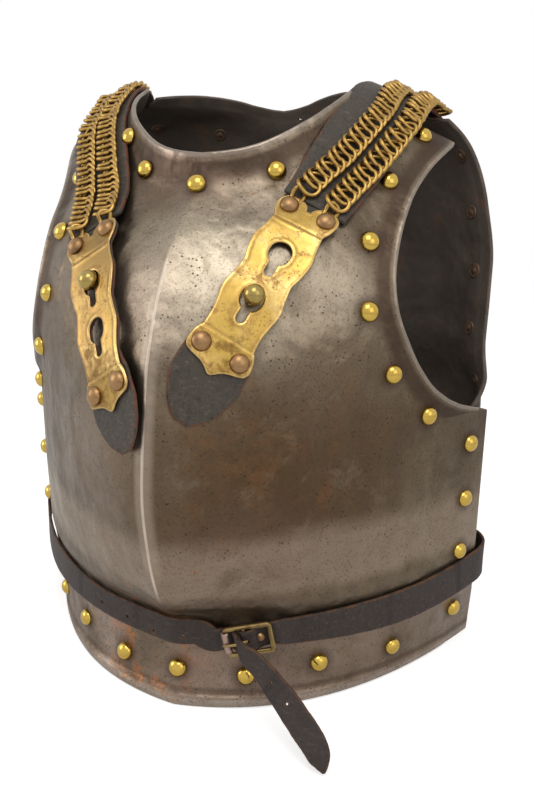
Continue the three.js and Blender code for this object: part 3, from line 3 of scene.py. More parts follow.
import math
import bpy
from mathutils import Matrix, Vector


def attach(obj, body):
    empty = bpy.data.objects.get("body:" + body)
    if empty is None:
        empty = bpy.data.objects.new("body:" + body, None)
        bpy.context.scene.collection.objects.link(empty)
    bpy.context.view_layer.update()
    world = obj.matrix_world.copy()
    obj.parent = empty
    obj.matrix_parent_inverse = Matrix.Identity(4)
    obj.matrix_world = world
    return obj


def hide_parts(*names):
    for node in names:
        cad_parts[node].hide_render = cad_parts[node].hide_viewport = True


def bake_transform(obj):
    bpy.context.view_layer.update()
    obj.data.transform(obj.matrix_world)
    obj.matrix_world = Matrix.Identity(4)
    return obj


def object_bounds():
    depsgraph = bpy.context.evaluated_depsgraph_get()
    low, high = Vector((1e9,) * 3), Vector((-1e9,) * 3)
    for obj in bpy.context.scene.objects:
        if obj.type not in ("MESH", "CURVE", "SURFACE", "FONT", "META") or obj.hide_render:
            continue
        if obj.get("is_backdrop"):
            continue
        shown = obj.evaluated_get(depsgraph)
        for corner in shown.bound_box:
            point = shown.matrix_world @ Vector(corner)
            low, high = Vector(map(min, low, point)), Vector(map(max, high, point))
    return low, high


bl_info = {
    "name": "Cuirass",
    "version": (1, 0, 0),
    "blender": (4, 5, 0),
    "location": "View3D > Sidebar > Cuirass",
    "description": "Builds a heavy-cavalry cuirass around its packed frame",
    "category": "Add Mesh",
}

import bpy
import numpy as np
from mathutils import Matrix, Vector
from mathutils.bvhtree import BVHTree
from mathutils.geometry import delaunay_2d_cdt

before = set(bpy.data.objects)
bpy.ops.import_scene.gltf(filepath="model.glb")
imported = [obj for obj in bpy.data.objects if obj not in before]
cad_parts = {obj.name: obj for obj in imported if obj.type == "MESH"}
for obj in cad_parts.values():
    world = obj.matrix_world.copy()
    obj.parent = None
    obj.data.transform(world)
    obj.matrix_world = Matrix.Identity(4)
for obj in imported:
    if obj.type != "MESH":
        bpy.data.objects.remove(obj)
cad_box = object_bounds()

MM = 0.001
# The plates are worked out about the seam's middle. The frame's origin lies this far off it (mm).
MIDDLE_Y = -26.7389
HALF_WIDTH = 190.0
RIDGE_DEPTH = 177.0
BACK_DEPTH = 128.0
DOME_HEIGHT = 430.0
SEAM_DEPTH = 42.0
SHOULDER_DEPTH = 30.0
SEAM_CLEARANCE = 1.2
SEAM_LAP = 16.0

MIRROR = (-1, 1, 1)
# The wearer's sides: their names, and which way across they lie
WAYS = (("left", 1), ("right", -1))

# Profiles: a share of DOME_HEIGHT, and a value
WIDTH_SHARES = [
    (0, 0.989), (0.056, 0.995), (0.107, 1), (0.572, 1), (0.651, 0.984), (0.709, 0.963),
    (0.749, 0.937), (0.793, 0.9), (0.828, 0.868), (0.874, 0.816), (0.907, 0.753),
    (0.935, 0.632), (0.967, 0.421), (1, 0.316),
]
RIDGE_SHARES = [
    (0, 0.757), (0.056, 0.717), (0.107, 0.706), (0.14, 0.717), (0.163, 0.757), (0.19, 0.842),
    (0.242, 0.915), (0.298, 0.96), (0.395, 1), (0.505, 0.977), (0.572, 0.949), (0.651, 0.876),
    (0.709, 0.797), (0.749, 0.712), (0.793, 0.582), (0.828, 0.492), (0.874, 0.384),
    (0.907, 0.294), (0.935, 0.215), (0.967, 0.113), (1, 0.045),
]
EDGE_DEPTH_SHARES = [
    (0, 1), (0.056, 0.86), (0.107, 0.71), (0.14, 0.57), (0.163, 0.48), (0.19, 0.38),
    (0.242, 0.31), (0.298, 0.27), (0.395, 0.24), (0.505, 0.19), (0.572, 0.14), (0.651, 0.14),
    (0.709, 0.19), (0.749, 0.24), (0.793, 0.31), (0.828, 0.36), (0.874, 0.38), (1, 0.38),
]
RIDGE_SLOPE_SHARES = [
    (0, 0.15), (0.107, 0.18), (0.14, 0.22), (0.163, 0.3), (0.19, 0.4), (0.242, 0.45),
    (0.793, 0.45), (0.874, 0.38), (0.935, 0.3), (1, 0.3),
]
EDGE_SLOPE_SHARES = [
    (0, 2.1), (0.056, 2), (0.107, 1.9), (0.14, 1.85), (0.163, 1.8), (0.19, 1.75), (0.242, 1.65),
    (0.505, 1.65), (0.572, 1.75), (0.651, 1.8), (0.749, 1.8), (0.793, 1.7), (0.874, 1.45),
    (0.935, 1.2), (1, 1),
]
SPINE_SHARES = [
    (0, 0.92), (0.07, 0.84), (0.13, 0.8), (0.21, 0.86), (0.35, 0.95), (0.5, 1), (0.7, 1),
    (0.837, 0.92), (0.93, 0.83), (0.972, 0.76), (1, 0.7), (1.05, 0.6),
]
SHOULDER_WIDTH_SHARES = [
    (0.45, 0.955), (0.7, 0.97), (0.802, 0.925), (0.88, 0.85), (0.93, 0.747), (0.955, 0.621),
    (0.974, 0.432), (1, 0.36), (1.05, 0.3),
]
SHOULDER_EDGE_SHARES = [(0.45, 0.1), (0.7, 0.3), (0.814, 0.7), (0.895, 1), (1.05, 1)]
# The back: over how much of its height it leaves the lap, and how full it is by its spine and
# its sides, and how much less so at the shoulders
SHOULDER_BLEND = 0.12
SPINE_FULLNESS = (1.55, 0.15)
SIDE_FULLNESS = (1.15, 0.25)
# Outlines: across, and a share of DOME_HEIGHT up
NECK_OUTLINE_SHARES = [
    (0, 0.842), (0.07, 0.844), (0.179, 0.858), (0.242, 0.874), (0.305, 0.893), (0.342, 0.905),
    (0.395, 0.93), (0.421, 0.951), (0.424, 0.966),
]
ARM_OUTLINE_SHARES = [
    (1, 0.458), (0.9, 0.479), (0.82, 0.509), (0.763, 0.551), (0.724, 0.591), (0.684, 0.64),
    (0.663, 0.691), (0.661, 0.731), (0.668, 0.776), (0.684, 0.816), (0.718, 0.853),
    (0.758, 0.88), (0.784, 0.895),
]
BACK_NECK_SHARES = [
    (0, 0.966), (0.2, 0.975), (0.36, 0.984), (0.55, 0.987), (0.8, 0.981), (1, 0.972),
]
BACK_ARM_SHARES = [
    (1, 0.458), (0.95, 0.477), (0.91, 0.51), (0.88, 0.56), (0.87, 0.63), (0.865, 0.71),
    (0.875, 0.785), (0.905, 0.85), (0.95, 0.9), (1, 0.93),
]
LEVEL_SHARES = [
    0, 0.004, 0.0115, 0.0187, 0.055, 0.1, 0.135, 0.157, 0.178, 0.21, 0.27, 0.35, 0.44, 0.53,
    0.61, 0.68, 0.74,
]
# A plate's net: its rows by the neck hollow and along the neck, how far apart rows lie (mm),
# and how much its columns crowd towards both ends
COVE_ROW_SHARES = (0.68, 0.25, 0)
COVE_ROW_GAP = 5
NECK_ROWS = 7
SIDE_ROW_SHARE = 0.93
ROW_STEP = 3.4
CROWDING = 0.72
# Its rims and bead (mm): how they fade out, rise and thicken the steel
ARM_FLARE_RUNOUT = 24
BEAD_RUNOUT = 14
BEAD_RISE = 1.8
BEAD_THICKER = 4.0
RIM_WIDTH = 5
RIM_THICKER = 0.8
RIM_SMOOTHINGS = 14
RIM_REACH = 3.0
# Rivets: shares of HALF_WIDTH across and of DOME_HEIGHT up
BREAST_RIVET_SHARES = [
    (0, 0.821), (0.244, 0.842), (0.362, 0.891), (0.688, 0.909), (0.609, 0.834),
    (0.586, 0.745), (0.61, 0.646), (0.692, 0.55), (0.805, 0.473), (0.95, 0.407),
    (0.947, 0.307), (0.942, 0.206), (0, 0.057), (0.247, 0.05), (0.49, 0.062),
    (0.727, 0.055), (0.932, 0.078),
]
FLUSH_RIVET = (0.362, 0.891)
# The backplate's rivets: shares of the way round from the spine, and of DOME_HEIGHT up
BACK_RIVET_SHARES = [
    (0, 0.925), (0.3, 0.935), (0.62, 0.944), (0.86, 0.885), (0.8, 0.79), (0.795, 0.69),
    (0.8, 0.59), (0.83, 0.5), (0.9, 0.42), (0.93, 0.31), (0.93, 0.21), (0, 0.057),
    (0.22, 0.057), (0.44, 0.057), (0.66, 0.057), (0.88, 0.07),
]
# Profiles from a plate's inner face (a tail) and its outer face (a stud), radius and height
RIVET_TAIL = [
    (0, -1.7), (1.3, -1.6), (2.2, -1.1), (2.5, -0.75), (3.4, -0.8), (4.7, -1.0), (5.6, -0.7),
    (5.7, 0.3), (0, 0.3),
]
STUD_FOOT = [(2.2, 0.0), (4.9, 0.1), (4.9, 0.9), (3.6, 1.4), (2.7, 2.2)]
STUD_SEAT = 4.8
# The small hole by the backplate's neck rim
NECK_HOLE = (15.0, 100.0, 413.0)
NECK_HOLE_RADIUS = 2.2
STUD_SHARES = {"left": (0.273, 0.666), "right": (0.266, 0.673)}

# Keyhole plates, in mm from the line through the top rivets
KEYHOLES = (34.0, 67.5)
# How far a keyhole's round part is drawn out towards its slot
KEYHOLE_SHIFT = 2.2
PLATE_TOP = 9.0
# The two lobes at a plate's top
LOBE_RADIUS = 9.4
LOBE_FOOT = 1.2
LOBE_RISE = PLATE_TOP - 1.4
# Between brass and lining, and how far the lining's edge stays inside the brass
PLATE_GAP = 0.9
LINING_INSET = 0.8
PLATE_RIVET_RISE = 4.6
# How far down the breast is felt for a plate's stand, and in which steps
LINING_REACH = 156
LIFT_STEP = 5.5
# The first ring's middle, from a strap's front end, so that the lifted plate stays clear of it
RING_START = {"left": 8.9, "right": 7.4}
# Two runs down the plate by the wire loops, between the chain and the plate (mm); the loops are not
# bent there
LOOP_BEND = [-13.5, -5.5]
# A wire loop's path: down the plate, across from its lobe's middle, and up
LOOP_KNOTS = [
    (-4.5, -3.6, 3.4), (-8.5, -3.7, 4.4), (-12.0, -3.5, 7.4), (-14.8, -1.9, 7.2),
    (-15.4, 0.4, 5.6), (-14.4, 2.6, 4.2), (-11.5, 3.6, 3.6), (-8.5, 3.7, 3.5), (-4.5, 3.6, 3.4),
]
PLATE_TIP = 120.0
RIVET_ROW = 106.0
PLATE_RIVET_SPREAD = 13.0
LINING_TIPS = {"left": 153.0, "right": 146.0}
PLATE_STANDS = {"left": 0.9, "right": 4.2}
PLATE_STUD_OFFSETS = {"left": KEYHOLES[1], "right": KEYHOLES[0]}
PLATE_LEANS = {"left": 0.44, "right": 0.47}
PLATE_EDGE = 19.6
PLATE_EDGE_SHARES = [
    (-0.073, 0.75), (-0.05, 0.97), (0, 1.06), (0.05, 1.0), (0.106, 0.86), (0.17, 0.9),
    (0.27, 1.01), (0.36, 0.93), (0.42, 0.84), (0.5, 0.9), (0.575, 0.98), (0.66, 0.9),
    (0.72, 0.85), (0.79, 0.86), (0.85, 1.02), (0.9, 1.06), (0.937, 0.94), (0.947, 0.7),
    (0.957, 0.46), (0.972, 0.27), (0.989, 0.14), (1, 0.04),
]
TAB_EDGE_SHARES = [
    (0.74, 0.82), (0.8, 0.88), (0.88, 1.05), (0.95, 1.1), (1.02, 1.12), (1.1, 1.02),
    (1.18, 0.79), (1.25, 0.42), (1.285, 0.15),
]
CREASES = (13.0, 96.6)

# Shoulder straps and chains
STRAP_CROSSING_SHARES = {"left": 0.575, "right": 0.588}
STRAP_CREST_HEIGHT_SHARES = {"left": 0.9744, "right": 0.9767}
STRAP_REAR_SHARES = [(0.72, 0.935), (0.66, 0.9)]
# Up the breast: where a strap is laid on the steel, from its start to its edge
STRAP_START = 1.2
STRAP_KNOT_SHARES = (0.22, 0.44, 0.66, 0.88)
STRAP_EDGE_SHARE = 0.935
STRAP_STAND = 1.85
# Over the shoulder: a share of SHOULDER_DEPTH, and how much the strap leans out
STRAP_CREST_SHARE = 0.75
STRAP_CREST_LEAN = 0.42
STRAP_HALF_WIDTH = 22.0
# How much wider a strap is towards the neck: shares of its length, and mm
STRAP_SWELL = {
    "left": [(0, 0), (0.12, 3), (0.3, 7), (0.5, 9), (0.58, 6), (0.68, 0), (1, 0)],
    "right": [(0, 0), (0.3, 3), (0.5, 3.5), (0.68, 0), (1, 0)],
}
CHAIN_SPREAD = 11.0
CHAIN_SHIFT = {"left": 12.0, "right": -3.0}
CHAIN_SHIFT_SHARES = {
    "left": [(0, 0), (0.15, 0.13), (0.3, 0.32), (0.45, 0.44), (0.6, 0.52), (0.7, 0.8), (0.8, 1)],
    "right": [(0, 0), (0.2, 0.16), (0.4, 0.5), (0.6, 0.84), (0.8, 1)],
}
CHAIN_SPREAD_SHARES = [(0, 1), (0.1, 0.97), (0.25, 0.9), (0.55, 0.9), (0.75, 1)]
CHAIN_END_SHARE = 0.8
# Rings: how much longer than wide, their tilt, their jog to and fro and their stand (mm)
RING_LONGER = 1.22
RING_TILT = 0.17
RING_JOG = 0.35
RING_STAND = 3.3
ANCHOR_SHARE = 0.87

# Belt: shares of HALF_WIDTH across and DOME_HEIGHT up, and a half width in mm
BELT_SHARES = [
    (0, 0.13, 9), (0.34, 0.13, 9), (0.43, 0.134, 9.5), (0.59, 0.138, 11), (0.76, 0.143, 12.3),
    (0.93, 0.157, 12.6), (1, 0.168, 12.8),
]
BELT_STATION_SHARES = [
    0, 0.08, 0.16, 0.24, 0.32, 0.4, 0.47, 0.54, 0.61, 0.68, 0.74, 0.8, 0.86, 0.92, 0.96,
]
BELT_SIDE_SHARES = [
    (1.018, 0.42, 0.166, 12.8), (1.03, 0.68, 0.17, 12.9), (1.008, 0.92, 0.175, 13),
    (0.96, 1.1, 0.178, 13), (0.912, 1.34, 0.18, 13),
]
BELT_STAND = 1.15
# Where the right-hand piece leaves the breast for the buckle: across (mm)
BELT_TURN = 26
# Punched holes of the right-hand piece: across the breast, and up from its middle (mm)
BELT_PUNCHES = [(-67.7, -1.9), (-41.8, -2.8), (-17.5, -5.0), (5.9, -3.6)]
# Buckle: its middle, its axes, and tables of places in its own frame (along, up or out, ...)
BUCKLE_AT = (51.49, -123.546, 54.782)
BUCKLE_ALONG = (0.94, 0.27, 0.2)
BUCKLE_OUT = (0.29, -0.95, -0.09)
BUCKLE_LENGTH = 34.0
BUCKLE_HEIGHT = 24.0
BUCKLE_BAR = 3.2
BUCKLE_CORNER = 2.2
# Half the section of its wide sides, across and through
BUCKLE_SECTION = (1.6, 1.5)
CENTRE_BAR_SHIFT = -2.6
CENTRE_BAR_RADIUS = 1.3
# The roller, its rod, its play at each end and where its seam lies (radians)
ROLLER_ROD = 1.35
ROLLER_RADII = (2.6, 1.9)
ROLLER_PLAY = 0.35
ROLLER_SEAM = 2.6
# The prong: its eye's section (radius, across), and its arm
PRONG_EYE = ((1.7, -1.3), (2.7, -1.35), (2.75, 0), (2.7, 1.35), (1.7, 1.3))
PRONG_KNOTS = [
    (-2.2, 0, 2.3), (-5, 0, 3.2), (-8, 0, 3.75), (-12, 0, 3.85), (-15.5, 0, 3.65),
    (-18.4, 0, 3.3),
]
TONGUE_RISE = [
    (-26, -5.9, 8.6, 2), (-20, -5.4, 8.2, 2), (-15.4, -5.3, 7.9, 2), (-12, -4.2, 7.8, 2),
    (-9.9, -1.2, 7.8, 2), (-8.6, 2.2, 7.8, 2), (-7.4, 5, 7.8, 2),
]
BELT_LOOP = [
    (12.5, -6.7, 7.6, 1.4), (4, -6.3, 7.7, 1.4), (-0.6, -4.3, 7.7, 1.4), (-2.9, -2.5, 7.7, 1.4),
    (-4.4, -1.6, 7.7, 1.4), (-5.05, 0, 7.7, 1.4), (-4.4, 1.7, 7.7, 1.4), (-2.6, 2.4, 7.7, 1.4),
    (1.5, 1.7, 7.7, 1.4), (6, -1, 7.8, 1.5), (10.5, -3.3, 7.9, 1.7), (15.4, -3.6, 8.2, 1.9),
    (20, -4, 8.6, 2.1),
]
TONGUE_START = [(-6.9, -0.1, 6.9, 7.9), (-5.6, -0.7, 9.2, 8.1), (-2, -2.8, 13.2, 8.3)]
TONGUE_FALL = [
    (0.325, 0.784, 0.11, 8.5), (0.39, 0.825, 0.097, 8.5), (0.46, 0.865, 0.078, 8.5),
    (0.52, 0.9, 0.058, 8.4), (0.567, 0.926, 0.041, 8), (0.595, 0.944, 0.025, 6.6),
    (0.61, 0.955, 0.012, 3), (0.614, 0.959, 0.006, 0.8),
]
TONGUE_END_ACROSS = (0.92, 0.35, 0.2)
TONGUE_PUNCHES = (0.35, 0.52)
UP = np.array((0.0, 0.0, 1.0))
# Camera: degrees around, up and rolled; what it looks at and from how far (mm); its lens
CAMERA_TURNS = (17.5, 13.85, 1.18)
CAMERA_AIM = (21.78, 0, 191.43)
CAMERA_DISTANCE = 620
FOCUS_PIXELS = 779.52
PHOTO_WIDTH = 534
SENSOR_WIDTH = 36
# Lights: name, place, width, power and what they point at (m, W)
LIGHTS = (
    ("key", (0.22, -0.72, 1.4), 0.75, 6.5, (0.02, -0.1, 0.28)),
    ("left", (-1.5, -0.6, 0.7), 0.8, 6.0, (0.0, 0.0, 0.2)),
    ("right", (1.3, -0.9, 0.9), 0.9, 3.0, (0.0, 0.0, 0.2)),
)
FLOOR_HALF = 6.0
SQUARE = ((1, 1), (-1, 1), (-1, -1), (1, -1))
# Patches on the breastplate's steel: tarnish, painted highlights and painted shade: place (mm),
# reach (mm), amount, tone
PATINA_AND_PAINTED_LIGHT = [
    ((60, -140, 160), 130, 0.95, (0.085, 0.048, 0.024)),
    ((120, -95, 185), 95, 0.7, (0.095, 0.06, 0.034)),
    ((90, -110, 265), 70, 0.5, (0.16, 0.115, 0.075)),
    ((30, -128, 305), 92, 0.95, (0.42, 0.36, 0.27)),
    ((99, -98, 292), 38, 0.6, (0.44, 0.37, 0.28)),
    ((55, -80, 355), 60, 0.45, (0.36, 0.29, 0.22)),
    ((-22, -143, 285), 62, 0.7, (0.38, 0.3, 0.23)),
    ((-110, -90, 240), 110, 0.6, (0.15, 0.108, 0.075)),
    ((-55, -145, 170), 75, 0.45, (0.24, 0.175, 0.135)),
    ((-10, -75, 370), 60, 0.6, (0.17, 0.105, 0.085)),
    ((60, -150, 90), 85, 0.35, (0.25, 0.18, 0.145)),
    ((60, -115, 20), 60, 0.5, (0.12, 0.078, 0.062)),
]


# Forms


def profile(pairs):
    """A smooth curve through pairs that keeps their rises and falls."""
    x, y = np.array(pairs, float).T
    step = np.diff(x)
    rise = np.diff(y) / step
    slope = np.zeros_like(y)
    slope[0], slope[-1] = rise[0], rise[-1]
    a, b = 2 * step[1:] + step[:-1], step[1:] + 2 * step[:-1]
    same = rise[:-1] * rise[1:] > 0
    low = np.where(same, rise[:-1], 1)
    high = np.where(same, rise[1:], 1)
    slope[1:-1] = np.where(same, (a + b) / (a / low + b / high), 0)

    def at(v):
        v = np.clip(v, x[0], x[-1])
        i = np.clip(np.searchsorted(x, v, side="left") - 1, 0, len(x) - 2)
        t = (v - x[i]) / step[i]
        u = 1 - t
        return (
            y[i] * u * u * (1 + 2 * t)
            + slope[i] * step[i] * t * u * u
            + y[i + 1] * t * t * (3 - 2 * t)
            - slope[i + 1] * step[i] * t * t * u
        )

    return at


def spline(points):
    """A centripetal curve through points, as a function of a share from 0 to 1."""
    p = np.array(points, float)
    full = np.vstack([2 * p[0] - p[1], p, 2 * p[-1] - p[-2]])
    last = len(p) - 1

    def at(t):
        v = np.clip(np.asarray(t, float), 0, 1) * last
        i = np.minimum(v.astype(int), last - 1)
        w = (v - i)[..., None]
        a, b, c, d = (full[i + k] for k in range(4))
        gap = [
            np.maximum(np.linalg.norm(q - o, axis=-1, keepdims=True), 1e-6) ** 0.5
            for o, q in ((a, b), (b, c), (c, d))
        ]
        m = ((b - a) / gap[0] - (c - a) / (gap[0] + gap[1]) + (c - b) / gap[1]) * gap[1]
        n = ((c - b) / gap[1] - (d - b) / (gap[1] + gap[2]) + (d - c) / gap[2]) * gap[1]
        return b + m * w + (3 * (c - b) - 2 * m - n) * w**2 + (2 * (b - c) + m + n) * w**3

    return at


def heading(curve, t, step=0.001):
    """A curve's direction at shares of it."""
    return unit(curve(np.minimum(t + step, 1)) - curve(np.maximum(t - step, 0)))


def run_along(points):
    """How far each point of a line lies from its start, along it."""
    return np.r_[0, np.cumsum(np.linalg.norm(np.diff(points, axis=0), axis=1))]


def evenly(curve, count, samples=600):
    """Shares of a curve that lie evenly along its length."""
    t = np.linspace(0, 1, samples)
    run = run_along(curve(t))
    return np.interp(np.linspace(0, run[-1], count), run, t)


def ease(t):
    c = np.clip(t, 0, 1)
    return c * c * (3 - 2 * c)


def unit(v):
    v = np.asarray(v, float)
    return v / np.maximum(np.linalg.norm(v, axis=-1, keepdims=True), 1e-12)


def stack(*parts):
    return np.stack(np.broadcast_arrays(*parts), axis=-1).astype(float)


width_at = profile(WIDTH_SHARES)
ridge_at = profile(RIDGE_SHARES)
edge_depth_at = profile(EDGE_DEPTH_SHARES)
ridge_slope_at = profile(RIDGE_SLOPE_SHARES)
edge_slope_at = profile(EDGE_SLOPE_SHARES)
spine_at = profile(SPINE_SHARES)
shoulder_width_at = profile(SHOULDER_WIDTH_SHARES)
shoulder_edge_at = profile(SHOULDER_EDGE_SHARES)
LAP_TOP = ARM_OUTLINE_SHARES[0][1]
RIDGE_ROUND = 1.6


def half_width(z):
    return HALF_WIDTH * width_at(z / DOME_HEIGHT)


def breast_point(x, z):
    level = z / DOME_HEIGHT
    width = half_width(z)
    q = (np.sqrt(x * x + RIDGE_ROUND**2) - RIDGE_ROUND) / (width - 0.999 * RIDGE_ROUND)
    rest = q * q * (3 - 2 * q)
    depth = (
        -RIDGE_DEPTH * ridge_at(level) * (1 - rest)
        + SEAM_DEPTH * edge_depth_at(level) * rest
        + ridge_slope_at(level) * width * q * (1 - q) ** 2
        - edge_slope_at(level) * width * q * q * (1 - q)
    )
    return stack(x, depth, z)


def breast_section(s, z):
    return breast_point(s * half_width(z), z)


def back_section(s, z):
    level = z / DOME_HEIGHT
    low = np.minimum(level, LAP_TOP)
    slope = edge_slope_at(low)
    run = np.hypot(1, slope)
    along = stack(1 / run, slope / run, 0)
    out = stack(slope / run, -1 / run, 0)
    lapped = stack(half_width(low * DOME_HEIGHT), SEAM_DEPTH * edge_depth_at(low), z)
    thick = bpy.context.scene.cuirass_steel.thickness / MM
    lapped = lapped - along * SEAM_LAP - out * (thick + SEAM_CLEARANCE)
    shoulder = stack(
        HALF_WIDTH * shoulder_width_at(level), SHOULDER_DEPTH * shoulder_edge_at(level), z
    )
    fade = ease((level - LAP_TOP) / SHOULDER_BLEND)[..., None]
    end = lapped + (shoulder - lapped) * fade
    turn = unit((np.array((0, -1.0, 0)) + along) * fade - along)
    spine = stack(0 * z, BACK_DEPTH * spine_at(level), z)
    f = fade[..., 0]
    rest = (s * s * (3 - 2 * s))[..., None]
    point = spine * (1 - rest) + end * rest
    full, less = SPINE_FULLNESS
    point[..., 0] += full * end[..., 0] * (1 - less * f) * s * (1 - s) ** 2
    full, less = SIDE_FULLNESS
    point -= turn * (full * end[..., 0] * (1 - less * f) * s * s * (1 - s))[..., None]
    point[..., 2] = z
    return point


def normal_of(point, u, v, du=0.001, dv=0.5):
    across = point(u + du, v) - point(u - du, v)
    up = point(u, v + dv) - point(u, v - dv)
    return unit(np.cross(across, up))


def breast_normal(x, z):
    return normal_of(breast_point, x, z, 0.5, 0.5)


def round_turns(count):
    """Angles that lie evenly round a full turn."""
    return np.linspace(0, 2 * math.pi, count + 1)[:-1]


def outline_curve(pairs, count):
    curve = spline([(s, 0, z * DOME_HEIGHT) for s, z in pairs])
    return curve(evenly(curve, count))[:, [0, 2]]


def distance_to(points, line):
    """Nearest distance from each point to a line of points."""
    best = np.full(len(points), 1e9)
    for a, b in zip(line[:-1], line[1:]):
        way = b - a
        t = np.clip((points - a) @ way / max(way @ way, 1e-12), 0, 1)
        best = np.minimum(best, np.linalg.norm(points - a - t[:, None] * way, axis=1))
    return best


# Meshes


def in_frame(points):
    return (np.asarray(points, float) - (0, MIDDLE_Y, 0)) * MM


def piece(name, points, faces, fields=None):
    """A mesh object from points in mm and faces, with float fields on its points."""
    mesh = bpy.data.meshes.new(name)
    mesh.from_pydata(in_frame(points).tolist(), [], [tuple(map(int, f)) for f in faces])
    mesh.validate()
    mesh.shade_smooth()
    for key, values in (fields or {}).items():
        field = mesh.attributes.new(key, "FLOAT", "POINT")
        field.data.foreach_set("value", np.asarray(values, np.float32))
    made = bpy.data.objects.new(name, mesh)
    bpy.context.scene.collection.objects.link(made)
    return made


def dress(made, material, body, slot, *nodes):
    """Gives a piece its finish, the body that it rides on and the solids that it stands for.

    A piece given no body is not attached to one."""
    if material is not None:
        made.data.materials.clear()
        made.data.materials.append(material)
    if body:
        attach(made, body)
    if nodes:
        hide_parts(*nodes)
    return made


def open_edges(faces):
    """Edges of one face only, in their faces' direction."""
    seen = {}
    for face in faces:
        for a, b in zip(face, (*face[1:], face[0])):
            seen[(a, b)] = True
    return [(a, b) for a, b in seen if (b, a) not in seen]


def thicken(outer, normals, faces, depth, roundness, fields, steps=4):
    """Closes an outward-facing sheet into a wall, with a rounded rim."""
    count = len(outer)
    depth = np.broadcast_to(depth, count)
    roundness = np.broadcast_to(roundness, count)
    inner = outer - normals * depth[:, None]
    rim = open_edges(faces)
    ways = {}
    for a, b in rim:
        for i in (a, b):
            ways[i] = ways.get(i, 0) + unit(np.cross(outer[b] - outer[a], normals[i]))
    ring, edge = {}, []
    for i, way in ways.items():
        middle, half = (outer[i] + inner[i]) / 2, depth[i] / 2
        ring[i] = [i]
        for turn in math.pi * np.arange(1, steps) / steps:
            ring[i].append(2 * count + len(edge))
            out = unit(way) * roundness[i] * math.sin(turn)
            edge.append(middle + half * (normals[i] * math.cos(turn) + out))
        ring[i].append(i + count)
    order = [i for i in ways for _ in range(1, steps)]
    points = np.vstack([outer, inner, np.array(edge).reshape(-1, 3)])
    more = {key: np.r_[v, v, v[order]] for key, v in fields.items()}
    if "inner" in more:
        more["inner"] = np.r_[np.zeros(count), np.ones(count), np.zeros(len(order))]
    result = [tuple(f) for f in faces]
    result += [tuple(i + count for i in reversed(f)) for f in faces]
    for a, b in rim:
        for k in range(steps):
            result.append((ring[b][k], ring[a][k], ring[a][k + 1], ring[b][k + 1]))
    return points, result, more


def smooth_rim(net, on, away, cove):
    """Takes the ripples out of a net's first column where it runs along a rim."""
    line = net[on, 0]
    line = np.vstack([line[:0:-1] * MIRROR, line])
    soft = line.copy()
    for _ in range(RIM_SMOOTHINGS):
        soft[1:-1] = (soft[:-2] + 2 * soft[1:-1] + soft[2:]) / 4
    fade = np.maximum(0, 1 - away / cove) ** 1.5
    near = fade > 0
    weight = np.exp(-np.linalg.norm(net[near][:, None] - line, axis=2) / RIM_REACH)
    net[near] += weight @ (soft - line) / weight.sum(axis=1, keepdims=True) * fade[near][:, None]
    return net


def punch(points, quads, at, radius):
    """Opens a round hole about the point nearest to a place."""
    middle = int(np.linalg.norm(points - at, axis=1).argmin())
    ring = {i for q in quads if middle in q for i in q} - {middle}
    for i in ring:
        points[i] = points[middle] + unit(points[i] - points[middle]) * radius
    return [q for q in quads if middle not in q]


def plate_rows(neck, arm, neck_cove):
    """Where a half plate's rows start and end: shares of the way round, and heights."""
    neck_foot, arm_foot = neck[0][1], arm[0][1]
    levels = [share * DOME_HEIGHT for share in LEVEL_SHARES]
    cove = [neck_foot - neck_cove * share for share in COVE_ROW_SHARES]
    left = [(0, z) for z in levels if z < cove[0] - COVE_ROW_GAP] + [(0, z) for z in cove]
    side_rows = sum(z < arm_foot * SIDE_ROW_SHARE for z in levels)
    count = len(left) + NECK_ROWS
    some = lambda line, n: line[np.linspace(0, len(line) - 1, n).round().astype(int)]
    left = np.vstack([left, some(neck, NECK_ROWS + 1)[1:]])
    right = np.vstack([[(1, z) for z in levels[:side_rows]], some(arm, count - side_rows)])
    starts, ends = [], []
    for i in range(count - 1):
        reach = max(abs(line[i + 1] - line[i]).max() for line in (left, right))
        steps = int(max(3, math.ceil(reach / ROW_STEP)))
        for t in np.arange(steps) / steps:
            starts.append(left[i] * (1 - t) + left[i + 1] * t)
            ends.append(right[i] * (1 - t) + right[i + 1] * t)
    starts, ends = np.array(starts + [left[-1]]), np.array(ends + [right[-1]])
    # Rows that end on an outline follow it exactly.
    on_neck = np.flatnonzero((starts[:, 0] > 1e-9) & (starts[:, 1] > neck_foot))
    on_arm = np.arange(np.flatnonzero(ends[:, 1] >= arm_foot - 1e-6)[0] + 1, len(ends))
    for rows, line, on in ((starts, neck, on_neck), (ends, arm, on_arm)):
        real = line * (HALF_WIDTH, 1)
        run = run_along(real)
        start = run[np.linalg.norm(rows[on[0]] * (HALF_WIDTH, 1) - real, axis=1).argmin()]
        spread = np.linspace(start, run[-1], len(on))
        rows[on] = np.stack([np.interp(spread, run, line[:, k]) for k in (0, 1)], axis=1)
    return starts, ends


